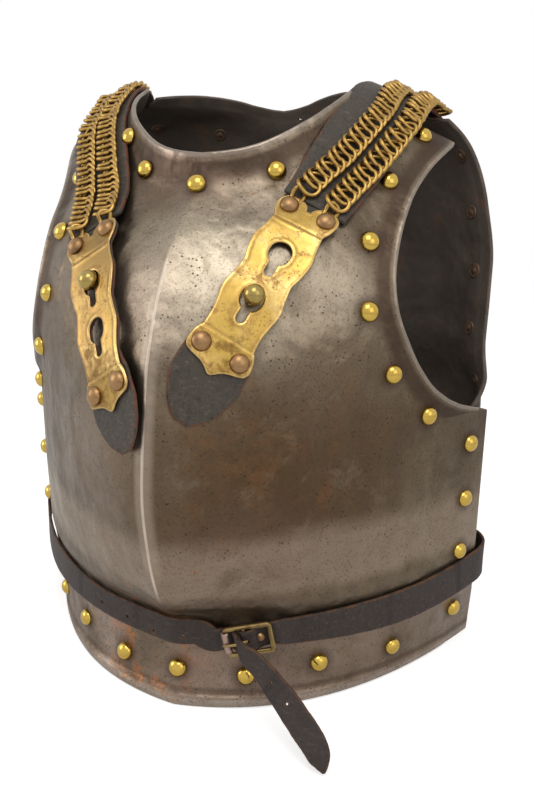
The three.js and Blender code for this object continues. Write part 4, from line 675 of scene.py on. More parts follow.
def plate_shell(section, side, neck, arm, neck_flare, arm_flare, columns=96):
    """Half nets mirrored into one plate.

    Gives its outer points, normals and faces, its wall, its distance to a rim, and its foot."""
    sizes = bpy.context.scene.cuirass_steel
    neck_cove, arm_cove = sizes.neck_cove / MM, sizes.arm_cove / MM
    starts, ends = plate_rows(neck, arm, neck_cove)
    u = np.linspace(0, 1, columns)
    t = CROWDING * (1 - np.cos(math.pi * u)) / 2 + (1 - CROWDING) * u
    s, z = (starts[:, None, k] * (1 - t) + ends[:, None, k] * t for k in (0, 1))
    net = section(s, z)
    normal = normal_of(section, s, z) * -side
    span = np.linalg.norm(net[:, 0] - net[:, -1], axis=1)[:, None]
    to_neck, to_arm = (
        distance_to(net.reshape(-1, 3), section(*line.T)).reshape(s.shape) for line in (neck, arm)
    )
    # The flares fade in above the side seam, and the bead fades out towards it.
    runout = ease((z - arm[0][1]) / ARM_FLARE_RUNOUT)
    bead = np.sqrt(np.maximum(0, 1 - ((2 * z) / (sizes.bead_width / MM) - 1) ** 2))
    bead = bead * ease(((1 - s) * span) / BEAD_RUNOUT - 1)
    rise = (
        neck_flare * np.maximum(0, 1 - to_neck / neck_cove) ** 2
        + arm_flare * np.maximum(0, 1 - to_arm / arm_cove) ** 2 * runout
        + BEAD_RISE * bead
    )
    rim = np.maximum(0, 1 - np.minimum(to_neck, to_arm) / RIM_WIDTH)
    wall = sizes.thickness / MM + RIM_THICKER * rim + BEAD_THICKER * bead
    net = net + normal * rise[..., None]
    half = smooth_rim(net, z[:, 0] >= neck[0][1] - 1e-6, to_neck, neck_cove).reshape(-1, 3)
    index = np.arange(len(half)).reshape(s.shape)
    mirror = index.ravel() + len(half)
    middle = np.abs(half[:, 0]) < 1e-3
    mirror[middle] = index.ravel()[middle]
    half[middle, 0] = 0
    points = np.vstack([half, half * MIRROR])
    cells = np.stack([index[:-1, :-1], index[:-1, 1:], index[1:, 1:], index[1:, :-1]], axis=-1)
    quads = []
    for q in cells.reshape(-1, 4).tolist():
        quads += [tuple(q), tuple(int(mirror[k]) for k in reversed(q))]
    if side > 0:
        quads = [tuple(reversed(q)) for q in quads]
        quads = punch(points, quads, NECK_HOLE, NECK_HOLE_RADIUS)
    used, corners = np.unique(quads, return_inverse=True)
    corners = corners.reshape(-1, 4)
    points = points[used]
    double = lambda a: np.r_[a.ravel(), a.ravel()][used]
    a, b, c, d = (points[corners[:, k]] for k in range(4))
    normals = np.zeros_like(points)
    for k in range(4):
        np.add.at(normals, corners[:, k], np.cross(c - a, d - b))
    foot = points[:, 2] < 1e-6
    normals[foot, 2] = 0
    edge = double(np.minimum(to_neck, np.where(runout > 0.02, to_arm, 60)))
    return points, unit(normals), corners.tolist(), double(wall), edge, foot


def inside(points, loop):
    """Which 2-D points lie in a closed loop."""
    x, y = points[:, 0:1], points[:, 1:2]
    a, b = loop, np.roll(loop, -1, axis=0)
    crosses = (a[:, 1] > y) != (b[:, 1] > y)
    rise = np.where(b[:, 1] == a[:, 1], 1e-12, b[:, 1] - a[:, 1])
    at = a[:, 0] + (y - a[:, 1]) * (b[:, 0] - a[:, 0]) / rise
    return (np.sum(crosses & (x < at), axis=1) % 2) == 1


def closed_distance(points, loops):
    return np.min([distance_to(points, np.vstack([l, l[:1]])) for l in loops], axis=0)


def within(points, loops):
    """Which 2-D points lie in the first loop and in none of the others."""
    keep = inside(points, loops[0])
    for hole in loops[1:]:
        keep &= ~inside(points, hole)
    return keep


def cut_sheet(outline, holes, spacing):
    """A flat sheet with holes as points (u, w), triangles, and each point's distance to an edge."""
    loops = [np.asarray(loop, float) for loop in (outline, *holes)]
    low, high = loops[0].min(0), loops[0].max(0)
    us, ws = (np.arange(low[k] + spacing / 2, high[k], spacing) for k in (0, 1))
    grid = np.array([(u, w) for u in us for w in ws])
    grid = grid[within(grid, loops)]
    grid = grid[closed_distance(grid, loops) > 0.45 * spacing]
    points, edges = [], []
    for loop in loops:
        first = len(points)
        points += [tuple(p) for p in loop]
        edges += [(first + k, first + (k + 1) % len(loop)) for k in range(len(loop))]
    points += [tuple(p) for p in grid]
    made = delaunay_2d_cdt([Vector(p) for p in points], edges, [], 0, 1e-5)
    flat, faces = np.array([tuple(v) for v in made[0]]), np.array([tuple(f) for f in made[2]])
    faces = faces[within(flat[faces].mean(axis=1), loops)]
    used, faces = np.unique(faces, return_inverse=True)
    return flat[used], faces.reshape(-1, 3), closed_distance(flat[used], loops)


def wall_piece(name, flat, faces, edge, outer, normal, thick, roundness):
    """A cut sheet's outer face made a closed wall, which keeps its rim, run and across."""
    a, b, c = (outer[faces[:, k]] for k in range(3))
    if np.sum(np.cross(b - a, c - a) * normal[faces[:, 0]]) < 0:
        faces = faces[:, ::-1]
    fields = {"rim": edge, "run": flat[:, 0], "across": flat[:, 1]}
    made = thicken(outer, normal, faces.tolist(), thick, roundness, fields)
    return piece(name, *made[:2], fields=made[2])


def sheet_piece(name, outline, holes, spacing, place, thickness, roundness, swell=None):
    """A sheet that follows place(u, w) -> lower face and normal, with a real thickness."""
    flat, faces, edge = cut_sheet(outline, holes, spacing)
    base, normal = place(*flat.T)
    thick = thickness + (swell(flat[:, 0], edge) if swell else np.zeros(len(flat)))
    outer = base + normal * thick[:, None]
    return wall_piece(name, flat, faces, edge, outer, normal, thick, roundness)


def lathe(pairs, sides):
    """Points and faces of a turned piece round its own +Z; the first and last lie on its axis."""
    turns = round_turns(sides)
    points = [(0, 0, pairs[0][1])]
    for r, h in pairs[1:-1]:
        points += [(r * math.cos(t), r * math.sin(t), h) for t in turns]
    points.append((0, 0, pairs[-1][1]))
    faces = []
    last = 1 + (len(pairs) - 3) * sides
    for k in range(sides):
        n = (k + 1) % sides
        faces.append((0, 1 + n, 1 + k))
        for a in range(1, last, sides):
            faces.append((a + k, a + n, a + sides + n, a + sides + k))
        faces.append((last + k, last + n, len(points) - 1))
    return np.array(points, float), faces


def domed(radius, foot, rise, below, start=0.05, steps=11):
    """A rivet: its shank's profile and a domed head over it."""
    turns = np.linspace(start, math.pi / 2, steps)[:-1]
    head = [(radius * math.cos(t), foot + rise * math.sin(t)) for t in turns]
    return lathe([*below, *head, (0, foot + rise)], 28)


def loft(rings, closed=False, caps=True):
    """Points and faces through rings of as many points each; outward faces, unless left open."""
    rings = np.asarray(rings, float)
    n, m = rings.shape[:2]
    faces = []
    for i in range(n if closed else n - 1):
        j = (i + 1) % n
        for k in range(m):
            l = (k + 1) % m
            faces.append((i * m + k, i * m + l, j * m + l, j * m + k))
    if caps and not closed:
        faces += [tuple(range(m))[::-1], tuple((n - 1) * m + k for k in range(m))]
    points = rings.reshape(-1, 3)
    return points, outwards(points, faces) if caps else faces


def tube(path, radius, sides=10):
    """A round wire along a path, closed at both ends."""
    ahead = unit(np.gradient(path, axis=0))
    side = np.cross(ahead[0], (0.3, 0.5, 0.8))
    rings = []
    for p, a in zip(path, ahead):
        side = unit(side - a * (side @ a))
        other = np.cross(a, side)
        out = [side * math.cos(t) + other * math.sin(t) for t in round_turns(sides)]
        rings.append([p + radius * o for o in out])
    return loft(rings)


def outwards(points, faces):
    """The faces, turned so that a closed form points outwards."""
    volume = 0
    for f in faces:
        for k in range(1, len(f) - 1):
            volume += points[f[0]] @ np.cross(points[f[k]], points[f[k + 1]])
    return faces if volume > 0 else [tuple(reversed(f)) for f in faces]


def together(parts):
    """Several (points, faces) as one."""
    points, faces = [], []
    for p, f in parts:
        first = sum(map(len, points))
        points.append(np.asarray(p, float))
        faces += [tuple(i + first for i in face) for face in f]
    return np.vstack(points), faces


# Repeats


def repeat(name, places, facings, shape, material, alongs=None, sizes=None):
    """Sets a shape on every place with geometry nodes, and turns the result into a plain mesh."""
    pattern = piece(name + "_pattern", np.asarray(shape[0]) + (0, MIDDLE_Y, 0), shape[1])
    host = piece(name, places, [])
    sizes = np.ones(len(places)) if sizes is None else sizes
    fields = {"facing": facings, "along": facings if alongs is None else alongs, "size": sizes}
    for key, values in fields.items():
        kind, socket = ("FLOAT", "value") if key == "size" else ("FLOAT_VECTOR", "vector")
        field = host.data.attributes.new(key, kind, "POINT")
        field.data.foreach_set(socket, np.asarray(values, np.float32).ravel())
    tree = bpy.data.node_groups.new(name + "_repeat", "GeometryNodeTree")
    face = tree.interface
    face.new_socket("Geometry", in_out="INPUT", socket_type="NodeSocketGeometry")
    scale = face.new_socket("Scale", in_out="INPUT", socket_type="NodeSocketFloat")
    scale.default_value = 1.0
    face.new_socket("Geometry", in_out="OUTPUT", socket_type="NodeSocketGeometry")
    nodes = Nodes(tree)
    start = nodes.node("NodeGroupInput")
    read = lambda key, kind: nodes.node(
        "GeometryNodeInputNamedAttribute", {"data_type": kind}, {"Name": key}
    )
    aim = nodes.node("FunctionNodeAlignRotationToVector", {"axis": "Z"},
                     {"Vector": read("facing", "FLOAT_VECTOR")})
    turn = nodes.node("FunctionNodeAlignRotationToVector", {"axis": "X", "pivot_axis": "Z"},
                      {"Rotation": aim, "Vector": read("along", "FLOAT_VECTOR")})
    size = read("size", "FLOAT") * start.sibling("Scale")
    put = nodes.node("GeometryNodeInstanceOnPoints", {}, {
        "Points": start.sibling("Geometry"),
        "Instance": nodes.node("GeometryNodeObjectInfo", {}, {"Object": pattern}, "Geometry"),
        "Rotation": turn,
        "Scale": nodes.node("ShaderNodeCombineXYZ", {}, {0: size, 1: size, 2: size}),
    })
    real = nodes.node("GeometryNodeRealizeInstances", {}, {0: put})
    dressed = nodes.node("GeometryNodeSetMaterial", {}, {"Geometry": real, "Material": material})
    nodes.node("NodeGroupOutput", {}, {0: dressed})
    modifier = host.modifiers.new("repeat", "NODES")
    modifier.node_group = tree
    modifier[scale.identifier] = 1.0
    graph = bpy.context.evaluated_depsgraph_get()
    mesh = bpy.data.meshes.new_from_object(host.evaluated_get(graph))
    host.modifiers.clear()
    mesh.name = name
    for key in fields:
        if key in mesh.attributes:
            mesh.attributes.remove(mesh.attributes[key])
    mesh.shade_smooth()
    host.data = mesh
    bpy.data.objects.remove(pattern)
    return host


# Finishes


class Tap:
    """An output socket that can be used in sums."""

    def __init__(self, nodes, socket):
        self.nodes = nodes
        self.socket = socket

    def sibling(self, name):
        """Another output of the same node."""
        return Tap(self.nodes, self.socket.node.outputs[name])

    def __add__(self, other):
        return self.nodes.maths("ADD", self, other)

    __radd__ = __add__

    def __sub__(self, other):
        return self.nodes.maths("SUBTRACT", self, other)

    def __rsub__(self, other):
        return self.nodes.maths("SUBTRACT", other, self)

    def __mul__(self, other):
        return self.nodes.maths("MULTIPLY", self, other)

    __rmul__ = __mul__

    def between(self, low, high):
        """0 below low and 1 above high, smoothly; the other way round where low is the larger."""
        if low > high:
            return 1 - self.between(high, low)
        settings = {"interpolation_type": "SMOOTHSTEP"}
        inputs = {"Value": self, "From Min": low, "From Max": high}
        return self.nodes.node("ShaderNodeMapRange", settings, inputs)

    def close_to(self, at, reach):
        """1 where the value is at a place, falling to 0 at a reach."""
        return self.nodes.maths("ABSOLUTE", self - at).between(reach, 0.2 * reach)


class Nodes:
    """A node tree, filled by calls that take a node's settings and its inputs."""

    def __init__(self, tree):
        self.tree = tree
        tree.nodes.clear()

    def node(self, kind, settings=None, inputs=None, output=0):
        """A node's output; None for a node that has none."""
        made = self.tree.nodes.new(kind)
        for key, value in (settings or {}).items():
            setattr(made, key, value)
        for key, value in (inputs or {}).items():
            socket = made.inputs[key]
            if isinstance(value, Tap):
                self.tree.links.new(value.socket, socket)
            elif socket.type == "RGBA":
                socket.default_value = (*value, 1)
            else:
                socket.default_value = value
        return Tap(self, made.outputs[output]) if made.outputs else None

    def maths(self, operation, *values):
        return self.node("ShaderNodeMath", {"operation": operation}, dict(enumerate(values)))


class Finish(Nodes):
    """A procedural material, built up in coats of colour."""

    def __init__(self, name):
        self.material = bpy.data.materials.new(name)
        self.material.use_nodes = True
        super().__init__(self.material.node_tree)
        self.place = self.node("ShaderNodeTexCoord", output="Object")
        self.base = None

    def split(self):
        """How far across and how far up a point lies (m)."""
        x = self.node("ShaderNodeSeparateXYZ", {}, {0: self.place})
        return x, x.sibling("Z")

    def field(self, name):
        return self.node("ShaderNodeAttribute", {"attribute_name": name}, {}, "Fac")

    def stretched(self, x, y, z, turn=(0.0, 0.0, 0.0)):
        inputs = {"Vector": self.place, "Scale": (x, y, z), "Rotation": turn}
        return self.node("ShaderNodeMapping", {}, inputs)

    def noise(self, scale, detail=3.0, rough=0.55, source=None, warp=0.0):
        return self.node("ShaderNodeTexNoise", {}, {
            "Vector": source or self.place, "Scale": scale, "Detail": detail,
            "Roughness": rough, "Distortion": warp,
        })

    def cells(self, scale, spread=1.0):
        inputs = {"Vector": self.place, "Scale": scale, "Randomness": spread}
        return self.node("ShaderNodeTexVoronoi", {}, inputs, "Distance")

    def blend(self, share, low, high):
        return self.node("ShaderNodeMix", {"data_type": "RGBA"}, {0: share, 6: low, 7: high}, 2)

    def coat(self, share, tone):
        """Lays a tone over the colour so far."""
        self.base = self.blend(share, self.base, tone)

    def near(self, at, radius):
        """1 at a place of the frame (mm), falling to 0 at a radius (mm)."""
        away = self.node("ShaderNodeVectorMath", {"operation": "DISTANCE"},
                         {0: self.place, 1: tuple(in_frame(at))}, "Value")
        return away.between(radius * MM, 0.15 * radius * MM)

    def bump(self, height, distance, strength, **more):
        inputs = {"Height": height, "Distance": distance, "Strength": strength, **more}
        return self.node("ShaderNodeBump", {}, inputs)

    def close(self, **inputs):
        """Ends the material in a principled shader with its colour and these inputs."""
        sockets = {key.replace("_", " "): value for key, value in inputs.items()}
        shader = self.node("ShaderNodeBsdfPrincipled", {}, {"Base Color": self.base, **sockets})
        self.node("ShaderNodeOutputMaterial", {}, {"Surface": shader})
        return self.material


def shades(tone, *amounts):
    """A colour, lighter or darker by each amount."""
    return [tuple(amount * c for c in tone) for amount in amounts]


def steel_finish(name, light, dark, bare=1.0):
    """Old steel: pits, rust, dark halos round its rivets, painted highlights on its rims and
    painted shade in the hollows by them.

    It is bare at 1, and has the backplate's dark coat at 0."""
    f = Finish(name)
    x, z = f.split()
    rim, inner, halo = (f.field(key) for key in ("rim", "inner", "halo"))
    broad = f.noise(9.0, 3.0, 0.6, warp=0.3)
    grain = f.noise(60.0, 5.0, 0.62)
    fine = f.noise(420.0, 3.0, 0.6)
    streak = f.noise(55.0, source=f.stretched(1, 1, 0.12))
    clean = (broad * 0.55 + grain * 0.3 + streak * 0.35 - 0.1).between(0.28, 0.72)
    f.base = f.blend(clean, dark, light)
    # Painted highlights where the steel catches the light, painted shade where it lies dim, and
    # tarnish where it has stayed brown
    mottle = 0.55 + 0.5 * grain + 0.35 * (fine - 0.5)
    for at, reach, amount, tone in PATINA_AND_PAINTED_LIGHT:
        f.coat(f.near(at, reach) * amount * (0.45 + mottle * 0.55), tone)
    # Brown and pale clouds, most of them on the belly
    belly = f.near((75, -135, 175), 125) * bare
    brown = f.noise(42.0, 7.0, 0.74, warp=0.3).between(0.47, 0.66)
    f.coat(brown * belly * 0.65, (0.155, 0.078, 0.036))
    faded = f.noise(33.0, 6.0, 0.72, warp=0.4).between(0.53, 0.68)
    f.coat(faded * (0.25 + 0.15 * belly), (0.22, 0.175, 0.125))
    dim = f.noise(17.0, 5.0, 0.66, warp=0.4).between(0.5, 0.66)
    f.coat(dim * 0.4, (0.09, 0.062, 0.044))
    # A paler waist
    level = z + (broad - 0.5) * 0.03
    waist = level.between(0.086, 0.098) * level.between(0.144, 0.124) * (0.25 + 0.75 * bare)
    f.coat(waist * (0.2 + mottle * 0.5), (0.32, 0.245, 0.18))
    # The foot: pale patches, a painted shade line in the groove over a painted highlight on the
    # bead, and rust by the buckle
    pale = (f.noise(38.0, 4.0, 0.6) * 0.7 + broad * 0.4).between(0.45, 0.68)
    f.coat(z.between(0.062, 0.04) * (0.25 + pale * 0.5), (0.26, 0.19, 0.15))
    groove_shade = z.between(0.014, 0.0105) * z.between(0.0065, 0.0085)
    f.coat(groove_shade * 0.6, (0.085, 0.055, 0.04))
    f.coat(z.between(0.0068, 0.0045) * (0.15 + 0.5 * grain), (0.5, 0.43, 0.37))
    rusty = f.noise(60.0, 5.0, 0.7, warp=0.3).between(0.49, 0.6)
    f.coat(f.near((-38, -140, 38), 75) * rusty * 0.95 * bare, (0.36, 0.15, 0.065))
    f.coat(f.near((-90, -115, 30), 60) * pale * 0.6 * bare, (0.42, 0.36, 0.31))
    # Rust: small orange spots and broader stains
    spots = f.noise(130.0, 4.0, 0.7).between(0.64, 0.72) * f.noise(14.0, 2.0).between(0.5, 0.62)
    f.coat(spots * 0.7, bpy.context.scene.cuirass_looks.rust)
    stains = f.noise(22.0, 5.0, 0.68, warp=0.6).between(0.58, 0.72)
    f.coat(stains * 0.35, (0.11, 0.058, 0.03))
    # Pits, fine specks and dust
    pits = f.cells(300.0).between(0.24, 0.1) * f.noise(70.0, 2.0).between(0.47, 0.6)
    f.coat(pits * 0.75, (0.03, 0.02, 0.015))
    f.coat(fine.between(0.6, 0.7) * 0.4, (0.045, 0.03, 0.02))
    f.coat(f.noise(700.0, 3.0, 0.65).between(0.53, 0.66) * 0.42, (0.05, 0.034, 0.022))
    # Painted shade in the hollows by the rims, painted highlights on the rims, dirt round the
    # rivets
    hollow_shade = rim.between(1.6, 4.0) * rim.between(17.0, 8.5)
    f.coat(hollow_shade * (0.6 + 0.5 * grain), (0.062, 0.04, 0.028))
    f.coat(rim.between(1.6, 0.4) * (0.3 + 0.4 * grain) * bare, (0.36, 0.3, 0.25))
    dirt = halo.between(14.0, 6.5) * (0.5 + 0.6 * grain)
    f.coat(dirt * 0.62, (0.06, 0.036, 0.03))
    # The ridge: a painted highlight, a fine bright line in a soft painted sheen
    away = x * x
    line = away.between(0.0000016, 0.0000001) * z.between(0.085, 0.11) * z.between(0.33, 0.28)
    f.coat(line * (0.5 + 0.6 * grain) * bare, (0.7, 0.6, 0.5))
    glow = away.between(0.00006, 0.000002) * z.between(0.1, 0.13) * z.between(0.31, 0.26)
    f.coat(glow * (0.15 + 0.5 * broad) * bare, (0.42, 0.34, 0.27))
    # The inside was never polished.
    rust = f.noise(35.0, 5.0, 0.65)
    raw = f.blend(rust, (0.04, 0.03, 0.022), (0.1, 0.075, 0.055))
    f.coat(inner, f.blend(rust.between(0.56, 0.72) * 0.55, raw, (0.17, 0.075, 0.04)))
    dull = rim.between(9.0, 3.0) * (1 - bare)
    rough = 0.34 + 0.2 * (1 - clean) + 0.2 * pits + 0.18 * spots + 0.15 * dirt
    rough = rough + inner * (0.62 - rough) - rim.between(3.2, 0.6) * (0.1 * bare) + 0.35 * dull
    height = fine * 0.25 + grain * 0.4 - pits * 0.9 - spots * 0.3
    waves = f.noise(26.0, 2.0, 0.45, warp=0.2) + 0.25 * f.noise(75.0, 2.0, 0.5)
    normal = f.bump(height, 0.00035, 0.55, Normal=f.bump(waves, 0.0058, 0.9))
    return f.close(Metallic=1 - inner * 0.75 - 0.7 * dull, Roughness=rough, Normal=normal)


def brass_finish(name, bright, stain, rough, staining, pitting, relief=0.0002):
    """Brass with stains, dark specks and a little relief."""
    f = Finish(name)
    patch = f.noise(75.0, 4.0, 0.62, warp=0.4)
    grain = f.noise(260.0, 3.0, 0.6)
    specks = f.noise(620.0, 2.0, 0.6).between(0.63, 0.72) * f.noise(90.0, 2.0).between(0.45, 0.6)
    f.base = f.blend((patch * 0.75 + grain * 0.35).between(0.5, 0.75) * staining, bright, stain)
    f.coat(specks * pitting, (0.06, 0.035, 0.015))
    normal = f.bump(patch * 0.6 + grain * 0.4 - specks * 0.4, relief, 0.6)
    rough = rough + 0.25 * patch * staining + 0.2 * specks
    return f.close(Metallic=1.0, Roughness=rough, Normal=normal)


def plate_finish(name, bright, stain):
    """Worn gilt brass: brown stains, dark specks, darker lines in its creases and worn edges."""
    f = Finish(name)
    rim, run = f.field("rim"), f.field("run")
    patch = f.noise(85.0, 5.0, 0.66, warp=0.7)
    cloud = f.noise(38.0, 3.0, 0.6)
    grain = f.noise(380.0, 3.0, 0.6)
    stains = (patch * 0.7 + cloud * 0.45).between(0.6, 0.72)
    f.base = f.blend(cloud.between(0.42, 0.72), bright, (0.7, 0.51, 0.2))
    f.coat(stains * 0.7, stain)
    # Painted shade on the plate on the wearer's right, and both are darker towards their lower
    # ends.
    far = f.split()[0].between(0.0, -0.05)
    f.coat(far * (0.52 + 0.4 * patch), (0.21, 0.125, 0.042))
    lower = run.between(70.0, 100.0)
    murk = f.noise(120.0, 4.0, 0.65).between(0.42, 0.62) * (0.25 + 0.6 * lower)
    f.coat(murk, (0.2, 0.105, 0.03))
    specks = f.noise(720.0, 2.0, 0.65).between(0.58, 0.68) * patch.between(0.4, 0.56)
    f.coat(specks * 0.75, (0.12, 0.06, 0.02))
    streaks = f.stretched(1, 1, 0.08, turn=(0.4, 0.7, 0.2))
    f.coat(f.noise(420.0, 2.0, 0.5, source=streaks).between(0.66, 0.7) * 0.25, (0.35, 0.22, 0.07))
    creases = sum((run.close_to(at, 1.1) for at in CREASES), start=0 * run)
    f.coat(creases * 0.55, (0.3, 0.18, 0.06))
    f.coat(rim.between(0.9, 0.2) * 0.3, (0.85, 0.62, 0.28))
    f.coat(rim.between(0.6, 1.6) * rim.between(4.0, 1.8) * 0.3, stain)
    normal = f.bump(cloud * 0.6 + patch * 0.35 + grain * 0.12 - specks * 0.2, 0.0006, 0.5)
    rough = 0.26 + 0.28 * stains + 0.2 * specks + 0.1 * grain
    return f.close(Metallic=1.0, Roughness=rough, Normal=normal)


def leather_finish(name, top, edge, grainy=1.0, creased=0.0):
    """Old leather: grain, wear and a raw, red-brown edge."""
    f = Finish(name)
    rim, across, run = (f.field(key) for key in ("rim", "across", "run"))
    pale, crack, dusty, scuffed, fleck, fold = shades(top, 1.75, 0.4, 2.6, 3.4, 0.3, 0.35)
    grain = f.cells(900.0, spread=0.9)
    cracks = f.noise(240.0, 4.0, 0.65, source=f.stretched(1, 1, 0.35), warp=0.5)
    broad = f.noise(45.0, 4.0, 0.6)
    f.base = f.blend(broad, top, pale)
    f.coat(cracks.between(0.55, 0.7) * 0.55, crack)
    f.coat(f.noise(650.0, 2.0, 0.6).between(0.56, 0.7) * 0.35 * grainy, dusty)
    wear = f.noise(420.0, 4.0, 0.7, source=f.stretched(0.25, 1, 1))
    f.coat(wear.between(0.52, 0.68) * 0.5, scuffed)
    flecks = f.noise(520.0, 6.0, 0.8, source=f.stretched(1, 1, 0.5)).between(0.54, 0.62)
    f.coat(flecks * 0.6, fleck)
    f.coat(f.noise(150.0, 4.0, 0.7).between(0.66, 0.74) * (0.35 + broad) * 0.5, edge)
    worn = rim.between(0.7, 0.1) * run.between(2.0, 6.0)
    f.coat(worn * f.noise(120.0, 4.0, 0.7).between(0.36, 0.6) * 0.9, edge)
    height = grain * 0.45 * grainy + cracks * 0.5 + broad * 0.4
    if creased:
        along = f.node("ShaderNodeCombineXYZ", {}, {0: run * MM, 1: across * (0.15 * MM)})
        folds = f.noise(42.0, 2.0, 0.5, source=along).between(0.56, 0.7)
        f.coat(folds * creased, fold)
        height = height - folds * 1.2
    rough = 0.52 + 0.2 * broad + 0.1 * worn
    return f.close(Roughness=rough, Normal=f.bump(height, 0.0005, 0.7), Specular_IOR_Level=0.3)


finishes = {}


# Places on the plates

shells = {}


def cast(tree, at, direction, reach=48.0):
    """How far a shell stands over a point, along a direction."""
    hit = tree.ray_cast(Vector(at + direction * reach), Vector(-direction))
    return reach - hit[3] if hit[0] is not None else -reach


def highest(tree, at, across, normal, half):
    return max(cast(tree, at + across * half * w, normal) for w in (-1, -0.5, 0, 0.5, 1))


def seat(tree, near, normal, radius):
    """A round piece's place and direction, clear of the shell all round."""
    at = near + normal * cast(tree, near, normal)
    first = unit(np.array((1.0, 0, 0)) - normal * normal[0])
    second = np.cross(normal, first)
    ring = []
    for t in round_turns(8):
        out = first * math.cos(t) + second * math.sin(t)
        ring.append(cast(tree, at + out * radius, normal))
    slope = first * (ring[4] - ring[0]) + second * (ring[6] - ring[2])
    tilt = unit(normal + slope / (2 * radius))
    rise = max(0, *[(a + b) / 2 for a, b in zip(ring[:4], ring[4:])])
    return at + tilt * rise, tilt


def stud_at(name, way):
    """Where a stud stands: across, and up."""
    share, level = STUD_SHARES[name]
    return share * HALF_WIDTH * way, level * DOME_HEIGHT


def plate_line(name, way):
    """A line down the breast through a stud: place, across, along and normal at a distance."""
    x, z = stud_at(name, way)
    lean = PLATE_LEANS[name] * way
    point = lambda t: breast_point(x - lean * t, z - t)
    t = np.arange(-PLATE_TIP, PLATE_TIP + 1.01, 1.0)
    run = run_along(point(t))
    start = np.interp(0, t, run) - PLATE_STUD_OFFSETS[name]

    def at(u):
        fall = np.interp(np.asarray(u, float) + start, run, t)
        place = point(fall)
        along = unit(point(fall + 1) - point(fall - 1))
        normal = breast_normal(place[..., 0], place[..., 2])
        across = unit(np.cross(normal, along))
        return place, across, along, np.cross(along, across)

    return at


def plate_place(name, way, level):
    """place(u, w) for a sheet on a keyhole plate, at a height over the lining's lower face."""
    line = plate_line(name, way)
    marks = np.arange(-PLATE_TOP, LINING_REACH, LIFT_STEP)
    place, across, _, normal = line(marks)
    half = PLATE_EDGE
    lifts = [highest(shells["breast"], p, a, n, half) for p, a, n in zip(place, across, normal)]
    lift = profile(list(zip(marks, np.array(lifts) + PLATE_STANDS[name])))

    def at(u, w):
        place, across, _, normal = line(u)
        return place + across * w[..., None] + normal * (lift(u) + level)[..., None], normal

    return at


def circle(x, y, radius, start, end, steps):
    """Points of an arc, from one angle to another."""
    turns = np.linspace(start, end, steps + 1)
    return [(x + radius * math.cos(t), y + radius * math.sin(t)) for t in turns]


def keyhole(u, extra):
    """A keyhole's outline (u, w) about its round part's middle, wider by some mm."""
    sizes = bpy.context.scene.cuirass_plates
    wide, slot = sizes.keyhole_radius / MM + extra, sizes.slot_radius / MM + extra
    meet = math.acos(slot / wide)
    loop = circle(0, KEYHOLE_SHIFT, wide, meet, 0, 5) + circle(0, 0, wide, 0, -math.pi, 24)
    loop += circle(0, KEYHOLE_SHIFT, wide, math.pi, math.pi - meet, 5)
    loop += circle(0, sizes.slot_run / MM, slot, math.pi, 0, 12)
    return [(u + y, x) for x, y in loop]


def dense(loop, step):
    """A closed loop with points no further apart than a step."""
    loop = np.asarray(loop, float)
    result = []
    for a, b in zip(loop, np.roll(loop, -1, axis=0)):
        n = max(1, int(math.ceil(np.linalg.norm(b - a) / step)))
        result += [tuple(a + (b - a) * k / n) for k in range(n)]
    return result


def band_outline(start, end, half_at, step, wobble, seed):
    """The outline of a strap from start to end with a half width at each place."""
    u = np.linspace(start, end, max(3, int((end - start) / step) + 1))
    half = half_at(u)
    rng = np.random.default_rng(seed)
    rough = np.convolve(rng.normal(0, 1, len(u) + 8), np.ones(5) / 5, "same")[4:-4] * wobble
    left = list(zip(u, -half + rough))
    right = list(zip(u[::-1], (half + np.roll(rough, 3))[::-1]))
    return dense(left + right, step)


def plate_outline():
    """The brass plate's wavy outline, with two lobes and a notch at its top."""
    edge = profile(PLATE_EDGE_SHARES)
    u = np.linspace(0.5, PLATE_TIP, 140)
    half = PLATE_EDGE * edge(u / PLATE_TIP)
    loop = list(zip(u, half)) + list(zip(u[::-1], -half[::-1]))
    for side in (-1, 1):
        middle = side * (PLATE_EDGE * edge(0) - LOBE_RADIUS - 0.2)
        for t in np.linspace(math.pi, 0, 18):
            rise = LOBE_FOOT + LOBE_RISE * math.sin(t)
            loop.append((-rise, middle + LOBE_RADIUS * math.cos(t)))
    return dense(loop, 0.9)


# Pieces


def size(label, about, mm):
    """A length that can be set, with its usual value in mm."""
    return bpy.props.FloatProperty(name=label, description=about, default=mm * MM, unit="LENGTH")


def tone(label, about, value):
    """A colour that can be set."""
    limits = {"size": 3, "min": 0, "max": 1, "subtype": "COLOR"}
    return bpy.props.FloatVectorProperty(name=label, description=about, default=value, **limits)


class CuirassSteel(bpy.types.PropertyGroup):
    thickness: size("Steel", "Thickness of both plates", 2.4)
    neck_flare: size("Neck flare", "How far the neck rim turns out", 13)
    neck_cove: size("Neck hollow", "Width of the hollow by the neck rim", 22)
    arm_flare: size("Arm flare", "How far the arm rims turn out", 4)
    arm_cove: size("Arm hollow", "Width of the hollow by the arm rims", 18)
    back_flare: size("Back flare", "How far the backplate's rims turn out", 5.5)
    bead_width: size("Foot bead", "Height of the rolled bead", 8)


class CuirassRivets(bpy.types.PropertyGroup):
    radius: size("Head radius", "Radius of the domed heads", 6.8)
    height: size("Head height", "Height of the domed heads", 5)
    plate_radius: size("Plate rivet radius", "Radius of the rivets on the keyhole plates", 6.2)
    ball_radius: size("Ball radius", "Radius of the studs' balls", 6.5)
    ball_rise: size("Ball rise", "Height of a ball's middle over the steel", 9.9)


class CuirassPlates(bpy.types.PropertyGroup):
    brass: size("Brass", "Thickness of the keyhole plates", 1.3)
    lining: size("Lining", "Thickness of their linings", 1.9)
    keyhole_radius: size("Keyhole radius", "Radius of the round part", 7.4)
    slot_radius: size("Slot radius", "Half the slot's width", 3.4)
    slot_run: size("Slot run", "From the round part to the slot's end", 15)


